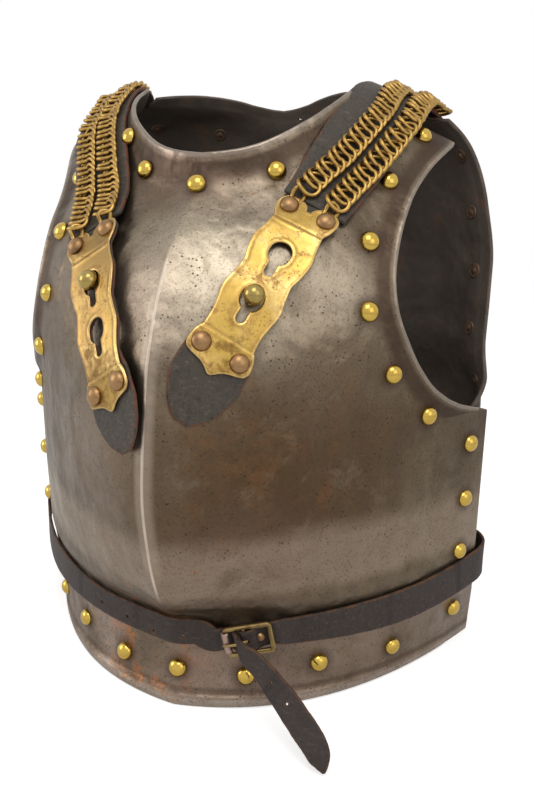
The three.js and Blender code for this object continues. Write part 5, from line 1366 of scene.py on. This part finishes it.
class CuirassStraps(bpy.types.PropertyGroup):
    strap: size("Strap leather", "Thickness of the shoulder straps", 2.8)
    ring_radius: size("Ring radius", "Middle radius of a chain's rings", 6.2)
    ring_bend: size("Ring bend", "How far a ring is bent out of its plane", 1.7)
    wire: size("Wire", "Radius of the rings' wire", 1.45)
    pitch: size("Ring pitch", "Between two rings", 5.9)
    belt: size("Belt leather", "Thickness of the belt", 2.2)
    tongue: size("Tongue leather", "Thickness of the belt's loose end", 2)


class CuirassLooks(bpy.types.PropertyGroup):
    steel: tone("Steel", "Clean steel", (0.21, 0.165, 0.114))
    steel_dark: tone("Tarnished steel", "Steel that has darkened", (0.108, 0.079, 0.051))
    back_steel: tone("Back steel", "The backplate's outside", (0.2, 0.155, 0.12))
    rust: tone("Rust", "Fresh rust spots", (0.36, 0.13, 0.04))
    rivet_brass: tone("Rivet brass", "Bright brass heads", (0.57, 0.385, 0.08))
    plate_brass: tone("Plate brass", "Gilt brass", (0.49, 0.315, 0.078))
    copper: tone("Brown brass", "The plates' rivets", (0.33, 0.19, 0.085))
    stud_brass: tone("Stud brass", "The studs", (0.37, 0.27, 0.085))
    chain_brass: tone("Chain brass", "The chains", (0.42, 0.26, 0.075))
    buckle_brass: tone("Buckle brass", "The buckle", (0.33, 0.23, 0.09))
    leather: tone("Strap leather", "Shoulder straps and linings", (0.043, 0.035, 0.027))
    leather_edge: tone("Strap edge", "Their raw edges", (0.16, 0.05, 0.025))
    belt: tone("Belt leather", "The belt", (0.029, 0.021, 0.018))
    belt_edge: tone("Belt edge", "The belt's raw edges", (0.12, 0.055, 0.025))


class Builds(bpy.types.Operator):
    """A step of the cuirass"""

    bl_options = {"REGISTER", "UNDO"}

    def execute(self, context):
        self.build(context.scene)
        return {"FINISHED"}


class CUIRASS_OT_plates(Builds):
    """Breastplate and backplate"""

    bl_idname = "cuirass.plates"
    bl_label = "Breastplate and backplate"

    def build(self, scene):
        sizes = scene.cuirass_steel
        flares = [v / MM for v in (sizes.neck_flare, sizes.arm_flare)]
        lines = lambda neck, arm: [outline_curve(neck, 71), outline_curve(arm, 141)]
        breast = lines(NECK_OUTLINE_SHARES, ARM_OUTLINE_SHARES)
        for line in breast:
            line[:, 0] = np.minimum(1, line[:, 0] * HALF_WIDTH / half_width(line[:, 1]))
        back = lines(BACK_NECK_SHARES, BACK_ARM_SHARES)
        for key, finish, slot, form in (
            ("breast", "steel", "polished_steel", (breast_section, -1, *breast, *flares)),
            ("back", "back", "dark_steel", (back_section, 1, *back, *[sizes.back_flare / MM] * 2)),
        ):
            points, normals, quads, wall, edge, foot = plate_shell(*form)
            shells[key] = BVHTree.FromPolygons([Vector(p) for p in points], quads)
            shells[key + "_rivets"] = spots = self.rivets(key)
            halo = np.min([np.linalg.norm(points - at, axis=1) for at, _ in spots], axis=0)
            fields = {"rim": edge, "halo": halo, "inner": np.zeros(len(points))}
            made = thicken(points, normals, quads, wall, np.where(foot, 0, 0.9), fields, steps=6)
            plate = piece(key + "plate_steel", *made[:2], fields=made[2])
            dress(plate, finishes[finish], "cuirass", slot, key + "plate")

    def rivets(self, key):
        """Where a plate's rivets sit, and which way they face."""
        radius = bpy.context.scene.cuirass_rivets.radius / MM
        spots = []
        for share, level in BREAST_RIVET_SHARES if key == "breast" else BACK_RIVET_SHARES:
            z = np.array(level * DOME_HEIGHT)
            if key == "breast":
                x = share * HALF_WIDTH
                point, normal = breast_point(x, z), breast_normal(x, z)
            else:
                s = np.array(float(share))
                point, normal = back_section(s, z), -normal_of(back_section, s, z)
            for way in (1, -1) if share else (1,):
                if (share, level) != FLUSH_RIVET or way < 0:
                    mirror = np.array((way, 1, 1))
                    spots.append(seat(shells[key], point * mirror, normal * mirror, radius))
        return spots


class CUIRASS_OT_rivets(Builds):
    """Domed rivets of both plates, and the ball studs"""

    bl_idname = "cuirass.rivets"
    bl_label = "Rivets and studs"

    def build(self, scene):
        sizes = scene.cuirass_rivets
        radius, height = sizes.radius / MM, sizes.height / MM
        steel = scene.cuirass_steel.thickness / MM
        shank = [(0, 0.3 - steel), (2, 0.3 - steel), (2, -0.8), (radius * 0.97, -0.6)]
        head = domed(radius, -0.35, height + 0.5, shank, 0.06, 12)
        tail = lathe([(r, h - steel) for r, h in RIVET_TAIL], 20)
        covered = {"breast": [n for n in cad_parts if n.startswith("rivet_")], "back": []}
        for key, nodes in covered.items():
            places, facings = zip(*shells[key + "_rivets"])
            grown = 1 + np.random.default_rng(5).normal(0, 0.02, len(places))
            made = repeat(key + "_rivets", places, facings, head, finishes["rivet"], sizes=grown)
            dress(made, None, "cuirass", "rivet_brass", *nodes)
            name = key + "_rivet_tails"
            made = repeat(name, places, facings, tail, finishes["tail"], sizes=grown)
            dress(made, None, "cuirass", "dark_steel")
        ball, rise = sizes.ball_radius / MM, sizes.ball_rise / MM
        shape = [(0, -steel - 0.9), (2.2, -steel - 0.8), *STUD_FOOT, (2.6, rise - ball * 0.9)]
        turns = np.linspace(-1.05, 1.45, 20)
        shape += [(ball * math.cos(t), rise + ball * math.sin(t)) for t in turns]
        shape += [(0, rise + ball)]
        spots = []
        for name, way in WAYS:
            at = stud_at(name, way)
            spots.append(seat(shells["breast"], breast_point(*at), breast_normal(*at), STUD_SEAT))
        made = repeat("ball_studs", *zip(*spots), lathe(shape, 36), finishes["stud"])
        dress(made, None, "cuirass", "stud_brass", "stud_left", "stud_right")


class CUIRASS_OT_keyhole_plates(Builds):
    """Keyhole plates with their linings and rivets"""

    bl_idname = "cuirass.keyhole_plates"
    bl_label = "Keyhole plates"

    def build(self, scene):
        sizes = scene.cuirass_plates
        brass, lining = sizes.brass / MM, sizes.lining / MM
        edge, tab = profile(PLATE_EDGE_SHARES), profile(TAB_EDGE_SHARES)
        radius = scene.cuirass_rivets.plate_radius / MM
        foot = -brass - PLATE_GAP
        shank = [(0, foot - 1.2), (1.9, foot - 1.1), (1.9, -0.4), (radius * 0.96, -0.3)]
        rivet = domed(radius, -0.1, PLATE_RIVET_RISE, shank)
        for name, way in WAYS:
            body = name + "_plate"
            under = plate_place(name, way, 0.0)
            over = plate_place(name, way, lining + PLATE_GAP)
            holes = [dense(keyhole(u, 0), 1.0) for u in KEYHOLES]
            made = sheet_piece("keyhole_plate_" + name + "_brass", plate_outline(), holes, 1.0,
                               over, brass, 0.8, self.relief)
            dress(made, finishes["plate"], body, "plate_brass", "keyhole_plate_" + name)
            tip = LINING_TIPS[name]
            half = lambda u: np.where(
                u < TAB_EDGE_SHARES[0][0] * PLATE_TIP,
                PLATE_EDGE * edge(u / PLATE_TIP) - LINING_INSET,
                PLATE_EDGE * tab(u / PLATE_TIP * LINING_TIPS["left"] / tip),
            )
            outline = band_outline(-PLATE_TOP + 0.2, tip, half, 1.2, 0.25, 3 + way)
            holes = [dense(keyhole(u, 1.2), 1.2) for u in KEYHOLES]
            made = sheet_piece("plate_lining_" + name + "_leather", outline, holes, 1.5,
                               under, lining, 0.55)
            dress(made, finishes["leather"], body, "strap_leather", "plate_lining_" + name)
            rows = np.array((0, 0, RIVET_ROW, RIVET_ROW), float)
            at, normal = over(rows, PLATE_RIVET_SPREAD * np.array((-1, 1, -1, 1)))
            at = at + normal * (brass + 0.1)
            made = repeat("plate_rivets_" + name, at, normal, rivet, finishes["copper"])
            nodes = [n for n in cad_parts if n.startswith("plate_rivet_" + name)]
            dress(made, None, body, "rivet_copper", *nodes)
            loops = dress(self.loops(name, under), finishes["chain"], "", "chain_brass")
            ends, normal = under(np.array(LOOP_BEND), np.zeros(2))
            held, lifted = in_frame(ends + normal * 4)
            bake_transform(loops)

    def relief(self, u, rim):
        """How much thicker the brass is by its creases and along its edge."""
        hump = lambda away, width: np.exp(-((away / width) ** 2))
        creases = [0.3 * hump(u - c - 1.6, 1.1) - 0.35 * hump(u - c, 0.55) for c in CREASES]
        return sum(creases) + 0.25 * hump(rim - 1.2, 0.9)

    def loops(self, name, under):
        """The wire loops that hold a chain's first ring to each upper lobe."""
        wire = bpy.context.scene.cuirass_straps.wire / MM
        path = spline(LOOP_KNOTS)(np.linspace(0, 1, 44))
        parts = []
        for side in (-1, 1):
            flat, normal = under(path[:, 0], path[:, 1] + side * (PLATE_RIVET_SPREAD - 1.0))
            parts.append(tube(flat + normal * path[:, 2:3], wire))
        return piece("chain_loops_" + name, *together(parts))


def strap_frames(name, way, count):
    """Places and directions along a shoulder strap."""
    line = plate_line(name, way)
    place, across, along, normal = (v[0] for v in line(np.array([-PLATE_TOP])))
    lift = highest(shells["breast"], place, across, normal, PLATE_EDGE) + PLATE_STANDS[name]
    crossing = STRAP_CROSSING_SHARES[name] * HALF_WIDTH * way
    first = place - along * STRAP_START
    knots, normals = [first + normal * lift], [normal]

    def lay(key, at, normal, across):
        over = highest(shells[key], at, across, normal, STRAP_HALF_WIDTH)
        knots.append(at + normal * (over + STRAP_STAND))
        normals.append(normal)

    up = np.array((crossing - first[0], 0, STRAP_EDGE_SHARE * DOME_HEIGHT - first[2]))
    for share in STRAP_KNOT_SHARES:
        x, _, z = first + up * share
        normal = breast_normal(x, z)
        climb = unit(up - normal * (up @ normal))
        lay("breast", breast_point(x, z), normal, np.cross(climb, normal))
    crest = STRAP_CREST_HEIGHT_SHARES[name] * DOME_HEIGHT
    knots.append(np.array((crossing, SHOULDER_DEPTH * STRAP_CREST_SHARE, crest)))
    normals.append(unit((way * STRAP_CREST_LEAN, 0, 1)))
    mirror = np.array((way, 1, 1))
    for s, level in STRAP_REAR_SHARES:
        s, z = np.array(float(s)), np.array(level * DOME_HEIGHT)
        normal = -normal_of(back_section, s, z) * mirror
        across = np.array((way, 0, -STRAP_CREST_LEAN * way))
        lay("back", back_section(s, z) * mirror, normal, unit(across - normal * (across @ normal)))
    path, lean = spline(knots), spline(normals)
    t = evenly(path, count)
    ahead = heading(path, t)
    side = unit(np.cross(ahead, lean(t)))
    length = run_along(path(np.linspace(0, 1, 600)))[-1]
    return {
        "at": path(t), "along": ahead, "across": side, "normal": np.cross(side, ahead),
        "length": length, "share": t, "run": np.linspace(0, length, count),
    }


def pick(frames, key, u):
    """Places or directions of frames, at runs along them."""
    return np.stack([np.interp(u, frames["run"], frames[key][:, k]) for k in range(3)], axis=-1)


def ribbon(frames):
    """place(u, w, height) along frames, by their run."""
    def at(u, w, height=0.0):
        across, normal = unit(pick(frames, "across", u)), unit(pick(frames, "normal", u))
        lift = across * np.asarray(w)[..., None] + normal * np.asarray(height)[..., None]
        return pick(frames, "at", u) + lift, normal

    return at


class CUIRASS_OT_shoulder_straps(Builds):
    """Shoulder straps, ring chains and their rear rivets"""

    bl_idname = "cuirass.shoulder_straps"
    bl_label = "Shoulder straps and chains"

    def build(self, scene):
        leather = scene.cuirass_straps.strap / MM
        link = self.link(scene.cuirass_straps)
        ends = []
        for name, way in WAYS:
            frames = strap_frames(name, way, 140)
            place, length = ribbon(frames), frames["length"]
            straight = lambda u: np.full(len(u), STRAP_HALF_WIDTH)
            outline = band_outline(0, length, straight, 1.6, 0.25, 7 + way)
            swell = profile([(share * length, more) for share, more in STRAP_SWELL[name]])
            outline = [(u, w - way * float(swell(u)) if w * way < 0 else w) for u, w in outline]
            made = sheet_piece("shoulder_strap_" + name + "_leather", outline, [], 2.0,
                               place, leather, 0.55)
            dress(made, finishes["leather"], "cuirass", "strap_leather", "shoulder_strap_" + name)
            rings = self.rings(name, way, frames, leather)
            made = repeat("chain_rings_" + name, *rings[:2], link, finishes["chain"], rings[2])
            chains = ["chain_" + name + end for end in ("_inner", "_outer")]
            dress(made, None, "cuirass", "chain_brass", *chains)
            run = np.interp(ANCHOR_SHARE, frames["share"], frames["run"])
            ends.append(place(run, way * CHAIN_SHIFT[name] * 0.5, leather))
        radius = scene.cuirass_rivets.plate_radius / MM
        shank = [(0, -leather - 5), (1.9, -leather - 4.9), (1.9, -0.1), (radius * 0.96, 0.0)]
        rivet = domed(radius, 0.1, PLATE_RIVET_RISE, shank)
        made = repeat("rear_rivets", *zip(*ends), rivet, finishes["copper"])
        dress(made, None, "cuirass", "rivet_copper", "anchor_rivet_left", "anchor_rivet_right")

    def link(self, sizes):
        """One ring of wire: longer across the chain, bent and tilted to lie on its neighbour."""
        ring, wire, bend = sizes.ring_radius / MM, sizes.wire / MM, sizes.ring_bend / MM
        rings = []
        for t in round_turns(24):
            middle = -bend * math.sin(2 * t) - RING_TILT * ring * math.cos(t)
            rings.append([
                ((ring + wire * math.cos(s)) * math.cos(t),
                 (RING_LONGER * ring + wire * math.cos(s)) * math.sin(t),
                 wire * math.sin(s) + middle)
                for s in round_turns(7)
            ])
        return loft(rings, closed=True)

    def rings(self, name, way, frames, leather):
        """Places and directions of both chains' rings, a little uneven."""
        place = ribbon(frames)
        pitch = bpy.context.scene.cuirass_straps.pitch / MM
        first = RING_START[name]
        last = np.interp(CHAIN_END_SHARE, frames["share"], frames["run"])
        shift_at, spread_at = profile(CHAIN_SHIFT_SHARES[name]), profile(CHAIN_SPREAD_SHARES)
        rng = np.random.default_rng(11 + way)
        made = []
        for side in (-way, way):
            for k in range(int((last - first) / pitch) + 1):
                u = first + pitch * k
                t = np.interp(u, frames["run"], frames["share"])
                shift = way * CHAIN_SHIFT[name] * float(shift_at(t))
                shift += side * CHAIN_SPREAD * float(spread_at(t))
                jog = RING_JOG if k % 2 else -RING_JOG
                at, normal = place(u + jog, shift, leather + RING_STAND)
                ahead = unit(pick(frames, "along", u))
                across = np.cross(ahead, normal)
                a, b, c = rng.normal(0, 0.05, 3)
                made.append((at, unit(normal + a * ahead + b * across), unit(ahead + c * across)))
        return list(zip(*made))


belt_height_at = profile([(x, z) for x, z, _ in BELT_SHARES])
belt_half_at = profile([(x, half) for x, _, half in BELT_SHARES])


def buckle_axes():
    out = unit(BUCKLE_OUT)
    along = np.array(BUCKLE_ALONG)
    along = unit(along - out * (along @ out))
    return along, np.cross(out, along), out


def in_buckle(x, y, n):
    along, up, out = buckle_axes()
    return np.array(BUCKLE_AT) + along * x + up * y + out * n


def belt_stations(way, start, limit=1e9):
    """Places of the belt on the breastplate: middle, half width, thickness and across."""
    stations = []
    thick = bpy.context.scene.cuirass_straps.belt / MM
    for share in (s for s in BELT_STATION_SHARES if s >= start):
        x, z = share * HALF_WIDTH * way, float(belt_height_at(share)) * DOME_HEIGHT
        normal = unit(breast_normal(x, z) * (1, 1, 0))
        half = float(belt_half_at(share))
        at = breast_point(x, z)
        over = highest(shells["breast"], at, UP, normal, half)
        at = at + normal * (over + BELT_STAND + thick / 2)
        if at[0] < limit:
            stations.append((at, half, thick, UP))
    return stations


def side_stations(way):
    thick = bpy.context.scene.cuirass_straps.belt / MM
    return [(np.array((way * x * HALF_WIDTH, y * SEAM_DEPTH, z * DOME_HEIGHT)), half, thick, UP)
            for x, y, z, half in BELT_SIDE_SHARES]


def buckle_stations(rows):
    up = buckle_axes()[1]
    return [(in_buckle(x, 0, n), half, thick, up) for x, n, half, thick in rows]


def strap_from(stations, count):
    """Smooth frames through a strap's stations, with half widths and thicknesses."""
    at = spline([s[0] for s in stations])
    t = evenly(at, count)
    marks = np.linspace(0, 1, len(stations))
    half, thick = (profile([(m, s[k]) for m, s in zip(marks, stations)])(t) for k in (1, 2))
    along = heading(at, t)
    side = spline([np.r_[s[3], s[1], s[2]] for s in stations])(t)[:, :3]
    side = unit(side - along * np.sum(side * along, axis=1, keepdims=True))
    return {
        "at": at(t), "along": along, "across": side, "normal": np.cross(along, side),
        "run": run_along(at(t)), "half": half, "thick": thick,
    }


def strap_piece(name, stations, holes, count, seed, spacing=1.8, wobble=0.15):
    """A strap through stations; each hole is a function that gives its outline from frames."""
    frames = strap_from(stations, count)
    width = lambda u: np.interp(u, frames["run"], frames["half"])
    outline = band_outline(0, frames["run"][-1], width, 1.4, wobble, seed)
    flat, faces, edge = cut_sheet(outline, [hole(frames) for hole in holes], spacing)
    depth = np.interp(flat[:, 0], frames["run"], frames["thick"])
    outer, normal = ribbon(frames)(*flat.T, depth / 2)
    return wall_piece(name, flat, faces, edge, outer, normal, depth, 0.6)


def round_hole(radius, across, run_of):
    """A round hole at the run that run_of(frames) gives."""
    return lambda frames: circle(run_of(frames), across, radius, 0, 2 * math.pi, 16)[:-1]


def belt_punch(x, across):
    """A punched hole where the belt passes a place across the breast."""
    nearest = lambda frames: frames["run"][np.abs(frames["at"][:, 0] - x).argmin()]
    return round_hole(1.7, across, nearest)


def slot_hole(low, high, half):
    """A slot where a strap passes between two places by the buckle's axes (along, out)."""
    def loop(frames):
        along, _, out = buckle_axes()
        local = (frames["at"] - BUCKLE_AT) @ np.stack([along, out], axis=1)
        on = np.flatnonzero(((local > low) & (local < high)).all(axis=1))
        a, b = frames["run"][on[0]] + half, frames["run"][on[-1]] - half
        q = math.pi / 2
        return dense(circle(b, 0, half, -q, q, 8) + circle(a, 0, half, q, 3 * q, 8), 1.0)

    return loop


class CUIRASS_OT_belt(Builds):
    """Waist belt and its punched tongue"""

    bl_idname = "cuirass.belt"
    bl_label = "Waist belt"

    def build(self, scene):
        right = side_stations(-1)[::-1] + belt_stations(-1, 0)[::-1]
        right += belt_stations(1, BELT_STATION_SHARES[1], limit=BELT_TURN)
        right += buckle_stations(TONGUE_RISE)
        holes = [slot_hole((-13, 0.2), (-4.5, 7.0), 1.7)]
        holes += [belt_punch(x, across) for x, across in BELT_PUNCHES]
        made = strap_piece("belt_right_leather", right, holes, 420, 2)
        dress(made, finishes["belt"], "cuirass", "belt_leather", "belt_right")
        left = buckle_stations(BELT_LOOP) + belt_stations(1, 0.4) + side_stations(1)
        holes = [slot_hole((-7, -3.2), (1.5, 4.4), 1.9)]
        made = strap_piece("belt_left_leather", left, holes, 420, 3)
        dress(made, finishes["belt"], "cuirass", "belt_leather", "belt_left")
        thick = scene.cuirass_straps.tongue / MM
        places = [(in_buckle(x, y, n), half) for x, y, n, half in TONGUE_START]
        for x, y, z, half in TONGUE_FALL:
            places.append((np.array((x * HALF_WIDTH, -y * RIDGE_DEPTH, z * DOME_HEIGHT)), half))
        up, end = buckle_axes()[1], unit(TONGUE_END_ACROSS)
        turn = ease(np.arange(len(places)) / (len(places) - 2))
        tongue = [(at, half, thick, up + (end - up) * t) for (at, half), t in zip(places, turn)]
        holes = [
            round_hole(1.5, 0, lambda frames, share=share: frames["run"][-1] * share)
            for share in TONGUE_PUNCHES
        ]
        made = strap_piece("belt_tongue_leather", tongue, holes, 160, 4, 1.4, 0.3)
        dress(made, finishes["belt"], "tongue", "belt_leather", "belt_tongue")


class CUIRASS_OT_buckle(Builds):
    """Buckle frame, roller and prong"""

    bl_idname = "cuirass.buckle"
    bl_label = "Buckle"

    def build(self, scene):
        bar = BUCKLE_BAR
        far, high = (BUCKLE_LENGTH - bar) / 2, (BUCKLE_HEIGHT - bar) / 2
        parts = [self.loop(far, high), self.rod(high)]
        made = piece("buckle_frame_brass", *together(parts))
        dress(made, finishes["buckle"], "buckle", "buckle_brass", "buckle_frame")
        made = piece("buckle_roller_sheet", *self.roller(-far, high - bar / 2 - ROLLER_PLAY))
        dress(made, finishes["roller"], "roller", "roller_copper", "buckle_roller")
        made = piece("buckle_prong_brass", *together(self.prong()))
        dress(made, finishes["buckle"], "prong", "buckle_brass", "buckle_prong")

    def local(self, points):
        return np.array([in_buckle(*p) for p in points])

    def loop(self, far, high):
        """The frame's closed loop: three wide sides and a thin one that carries the roller."""
        path = []
        for k, (x, y) in enumerate(SQUARE):
            middle = x * (far - BUCKLE_CORNER), y * (high - BUCKLE_CORNER)
            quarters = k * math.pi / 2, (k + 1) * math.pi / 2
            path += circle(*middle, BUCKLE_CORNER, *quarters, 6)
        path = np.array(dense(path, 0.9))
        ahead = unit(np.roll(path, -1, axis=0) - np.roll(path, 1, axis=0))
        rings = []
        for p, aside in zip(path, np.stack([ahead[:, 1], -ahead[:, 0]], axis=1)):
            thin = ease((1.4 - far - p[0]) / 1.4) * ease(high - 0.6 - abs(p[1]))
            w, h = (v + (ROLLER_ROD - v) * thin for v in BUCKLE_SECTION)
            # Squarer where the loop is wide, round where it is thin
            soften = lambda v: math.copysign(abs(v) ** (0.55 + 0.45 * thin), v)
            ring = []
            for t in round_turns(12):
                out = aside * w * soften(math.cos(t))
                ring.append((*(p + out), h * soften(math.sin(t))))
            rings.append(self.local(ring))
        return loft(rings, closed=True)

    def rod(self, high):
        """The centre bar."""
        around = [(math.cos(t), math.sin(t)) for t in round_turns(14)]
        shift, r = CENTRE_BAR_SHIFT, CENTRE_BAR_RADIUS
        return loft([self.local([(shift + r * c, y, r * s) for c, s in around])
                     for y in np.linspace(-high, high, 9)])

    def roller(self, x, half):
        """A rolled sheet with an open seam, about the thin side."""
        outer, inner = ROLLER_RADII
        turns = np.linspace(0.12, 2 * math.pi - 0.12, 30) + ROLLER_SEAM
        section = [(outer, t) for t in turns] + [(inner, t) for t in turns[::-1]]
        rings = []
        for y in np.linspace(-half, half, 7):
            ring = [(x + r * math.cos(t), y, r * math.sin(t)) for r, t in section]
            rings.append(self.local(ring))
        points, faces = loft(rings, caps=False)
        m = len(section)
        for base, flip in ((0, False), (len(points) - m, True)):
            for i in range(len(turns) - 1):
                face = (base + i, base + i + 1, base + m - 2 - i, base + m - 1 - i)
                faces.append(face if flip else face[::-1])
        return points, outwards(points, faces)

    def prong(self):
        """A ring round the centre bar, and an arm that tapers to the roller."""
        ring = []
        for t in round_turns(28):
            c, s = math.cos(t), math.sin(t)
            ring.append(self.local([(CENTRE_BAR_SHIFT + r * c, y, r * s) for r, y in PRONG_EYE]))
        spine = spline(PRONG_KNOTS)
        arm = []
        for t in np.linspace(0, 1, 24):
            x, _, h = spine(t)
            w, d = 1.25 * (1 - 0.5 * t**3), 0.75 * (1 - 0.45 * t**3)
            around = [(w * math.cos(a), d * math.sin(a)) for a in round_turns(12)]
            arm.append(self.local([(x + 0.1 * up, aside, h + up) for aside, up in around]))
        return [loft(ring, closed=True), loft(arm)]


class CUIRASS_OT_stage(Builds):
    """Floor, lights, world and camera"""

    bl_idname = "cuirass.stage"
    bl_label = "Stage"

    def build(self, scene):
        scene.view_settings.view_transform = "Standard"
        self.camera(scene)
        self.floor(scene)
        self.world(scene)
        for name, at, width, power, aim in LIGHTS:
            light = bpy.data.lights.new(name, "AREA")
            light.energy = power
            light.size = width
            lamp = bpy.data.objects.new(name, light)
            lamp.location = at
            lamp.rotation_euler = (Vector(aim) - Vector(at)).to_track_quat("-Z", "Y").to_euler()
            scene.collection.objects.link(lamp)

    def camera(self, scene):
        around, tilt, roll = (math.radians(v) for v in CAMERA_TURNS)
        flat, rise = math.cos(tilt), math.sin(tilt)
        back = np.array((math.sin(around) * flat, -math.cos(around) * flat, rise))
        right = np.array((math.cos(around), math.sin(around), 0))
        up = np.cross(back, right)
        aside = right * math.cos(roll) + up * math.sin(roll)
        top = -right * math.sin(roll) + up * math.cos(roll)
        lens = bpy.data.cameras.new("camera")
        lens.sensor_fit = "HORIZONTAL"
        lens.sensor_width = SENSOR_WIDTH
        lens.lens = FOCUS_PIXELS / PHOTO_WIDTH * SENSOR_WIDTH
        camera = bpy.data.objects.new("camera", lens)
        place = Vector(in_frame(np.array(CAMERA_AIM) + back * CAMERA_DISTANCE))
        turn = Matrix((aside, top, back)).transposed().to_4x4()
        camera.matrix_world = Matrix.Translation(place) @ turn
        scene.collection.objects.link(camera)
        scene.camera = camera

    def floor(self, scene):
        material = bpy.data.materials.new("floor_white")
        material.use_nodes = True
        tree = Nodes(material.node_tree)
        seen = tree.node("ShaderNodeLightPath", output="Is Camera Ray")
        light = seen * 0.5 + seen.sibling("Is Glossy Ray") * 0.15
        matt = tree.node("ShaderNodeBsdfDiffuse", {}, {"Color": (0.9, 0.9, 0.9)})
        glow = tree.node("ShaderNodeEmission", {}, {"Color": (1, 1, 1), "Strength": light})
        both = tree.node("ShaderNodeAddShader", {}, {0: matt, 1: glow})
        tree.node("ShaderNodeOutputMaterial", {}, {"Surface": both})
        mesh = bpy.data.meshes.new("floor")
        corners = [(x * FLOOR_HALF, y * FLOOR_HALF, -0.0005) for x, y in SQUARE]
        mesh.from_pydata(corners, [], [(0, 1, 2, 3)])
        mesh.materials.append(material)
        floor = bpy.data.objects.new("floor", mesh)
        scene.collection.objects.link(floor)
        floor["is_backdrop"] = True

    def world(self, scene):
        """White where it is seen, in the steel too, and softer as light."""
        world = bpy.data.worlds.new("studio")
        world.use_nodes = True
        tree = Nodes(world.node_tree)
        seen = tree.node("ShaderNodeLightPath", output="Is Camera Ray")
        rays = tree.maths("MAXIMUM", seen, seen.sibling("Is Glossy Ray"))
        rays = tree.maths("MAXIMUM", rays, seen.sibling("Is Transmission Ray"))
        level = tree.node("ShaderNodeMapRange", {}, {"Value": rays, "To Min": 0.55})
        ground = tree.node("ShaderNodeBackground", {}, {"Color": (1, 1, 1), "Strength": level})
        tree.node("ShaderNodeOutputWorld", {}, {"Surface": ground})
        scene.world = world


class CUIRASS_OT_finishes(Builds):
    """Materials"""

    bl_idname = "cuirass.finishes"
    bl_label = "Finishes"

    def build(self, scene):
        looks = scene.cuirass_looks
        make = brass_finish
        finishes.update(
            steel=steel_finish("polished_steel", looks.steel, looks.steel_dark),
            back=steel_finish("dark_steel", looks.back_steel, (0.07, 0.055, 0.045), bare=0.0),
            rivet=make(
                "rivet_brass", looks.rivet_brass, (0.3, 0.18, 0.05), 0.17, 0.25, 0.35, 0.0001
            ),
            plate=plate_finish("plate_brass", looks.plate_brass, (0.33, 0.17, 0.06)),
            copper=make("rivet_copper", looks.copper, (0.13, 0.075, 0.045), 0.3, 0.75, 0.5),
            tail=make("rivet_tail", (0.16, 0.105, 0.07), (0.05, 0.025, 0.014), 0.5, 0.8, 0.7),
            stud=make("stud_brass", looks.stud_brass, (0.12, 0.09, 0.035), 0.2, 0.5, 0.4, 0.0001),
            chain=make("chain_brass", looks.chain_brass, (0.16, 0.09, 0.035), 0.3, 0.6, 0.4),
            buckle=make("buckle_brass", looks.buckle_brass, (0.12, 0.08, 0.04), 0.36, 0.7, 0.6),
            roller=make("roller_copper", (0.42, 0.3, 0.25), (0.2, 0.13, 0.1), 0.42, 0.6, 0.5),
            leather=leather_finish("strap_leather", looks.leather, looks.leather_edge),
            belt=leather_finish("belt_leather", looks.belt, looks.belt_edge, 0.5, 0.6),
        )
        for name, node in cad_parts.items():
            if name.startswith("belt_rivet") or name == "belt_fold_rivet":
                node.data.materials.clear()
                node.data.materials.append(finishes["copper"])


GROUPS = {
    "cuirass_steel": CuirassSteel,
    "cuirass_rivets": CuirassRivets,
    "cuirass_plates": CuirassPlates,
    "cuirass_straps": CuirassStraps,
    "cuirass_looks": CuirassLooks,
}
STEPS = (
    CUIRASS_OT_stage,
    CUIRASS_OT_finishes,
    CUIRASS_OT_plates,
    CUIRASS_OT_rivets,
    CUIRASS_OT_keyhole_plates,
    CUIRASS_OT_shoulder_straps,
    CUIRASS_OT_belt,
    CUIRASS_OT_buckle,
)


class CUIRASS_PT_panel(bpy.types.Panel):
    """Lists the steps and the sizes"""

    bl_label = "Cuirass"
    bl_idname = "CUIRASS_PT_panel"
    bl_space_type = "VIEW_3D"
    bl_region_type = "UI"
    bl_category = "Cuirass"

    def draw(self, context):
        for step in STEPS:
            self.layout.operator(step.bl_idname)
        for key, group in GROUPS.items():
            box = self.layout.box()
            for name in group.__annotations__:
                box.prop(getattr(context.scene, key), name)


def register():
    for key, group in GROUPS.items():
        bpy.utils.register_class(group)
        setattr(bpy.types.Scene, key, bpy.props.PointerProperty(type=group))
    for step in (*STEPS, CUIRASS_PT_panel):
        bpy.utils.register_class(step)


def unregister():
    for step in (CUIRASS_PT_panel, *reversed(STEPS)):
        bpy.utils.unregister_class(step)
    for key, group in reversed(GROUPS.items()):
        delattr(bpy.types.Scene, key)
        bpy.utils.unregister_class(group)


def main():
    register()
    for step in STEPS:
        group, name = step.bl_idname.split(".")
        getattr(getattr(bpy.ops, group), name)()
    plain = lambda box: [[float(v) for v in corner] for corner in box]
    {"cad": plain(cad_box), "visual": plain(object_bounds())}


if __name__ == "__main__":
    main()
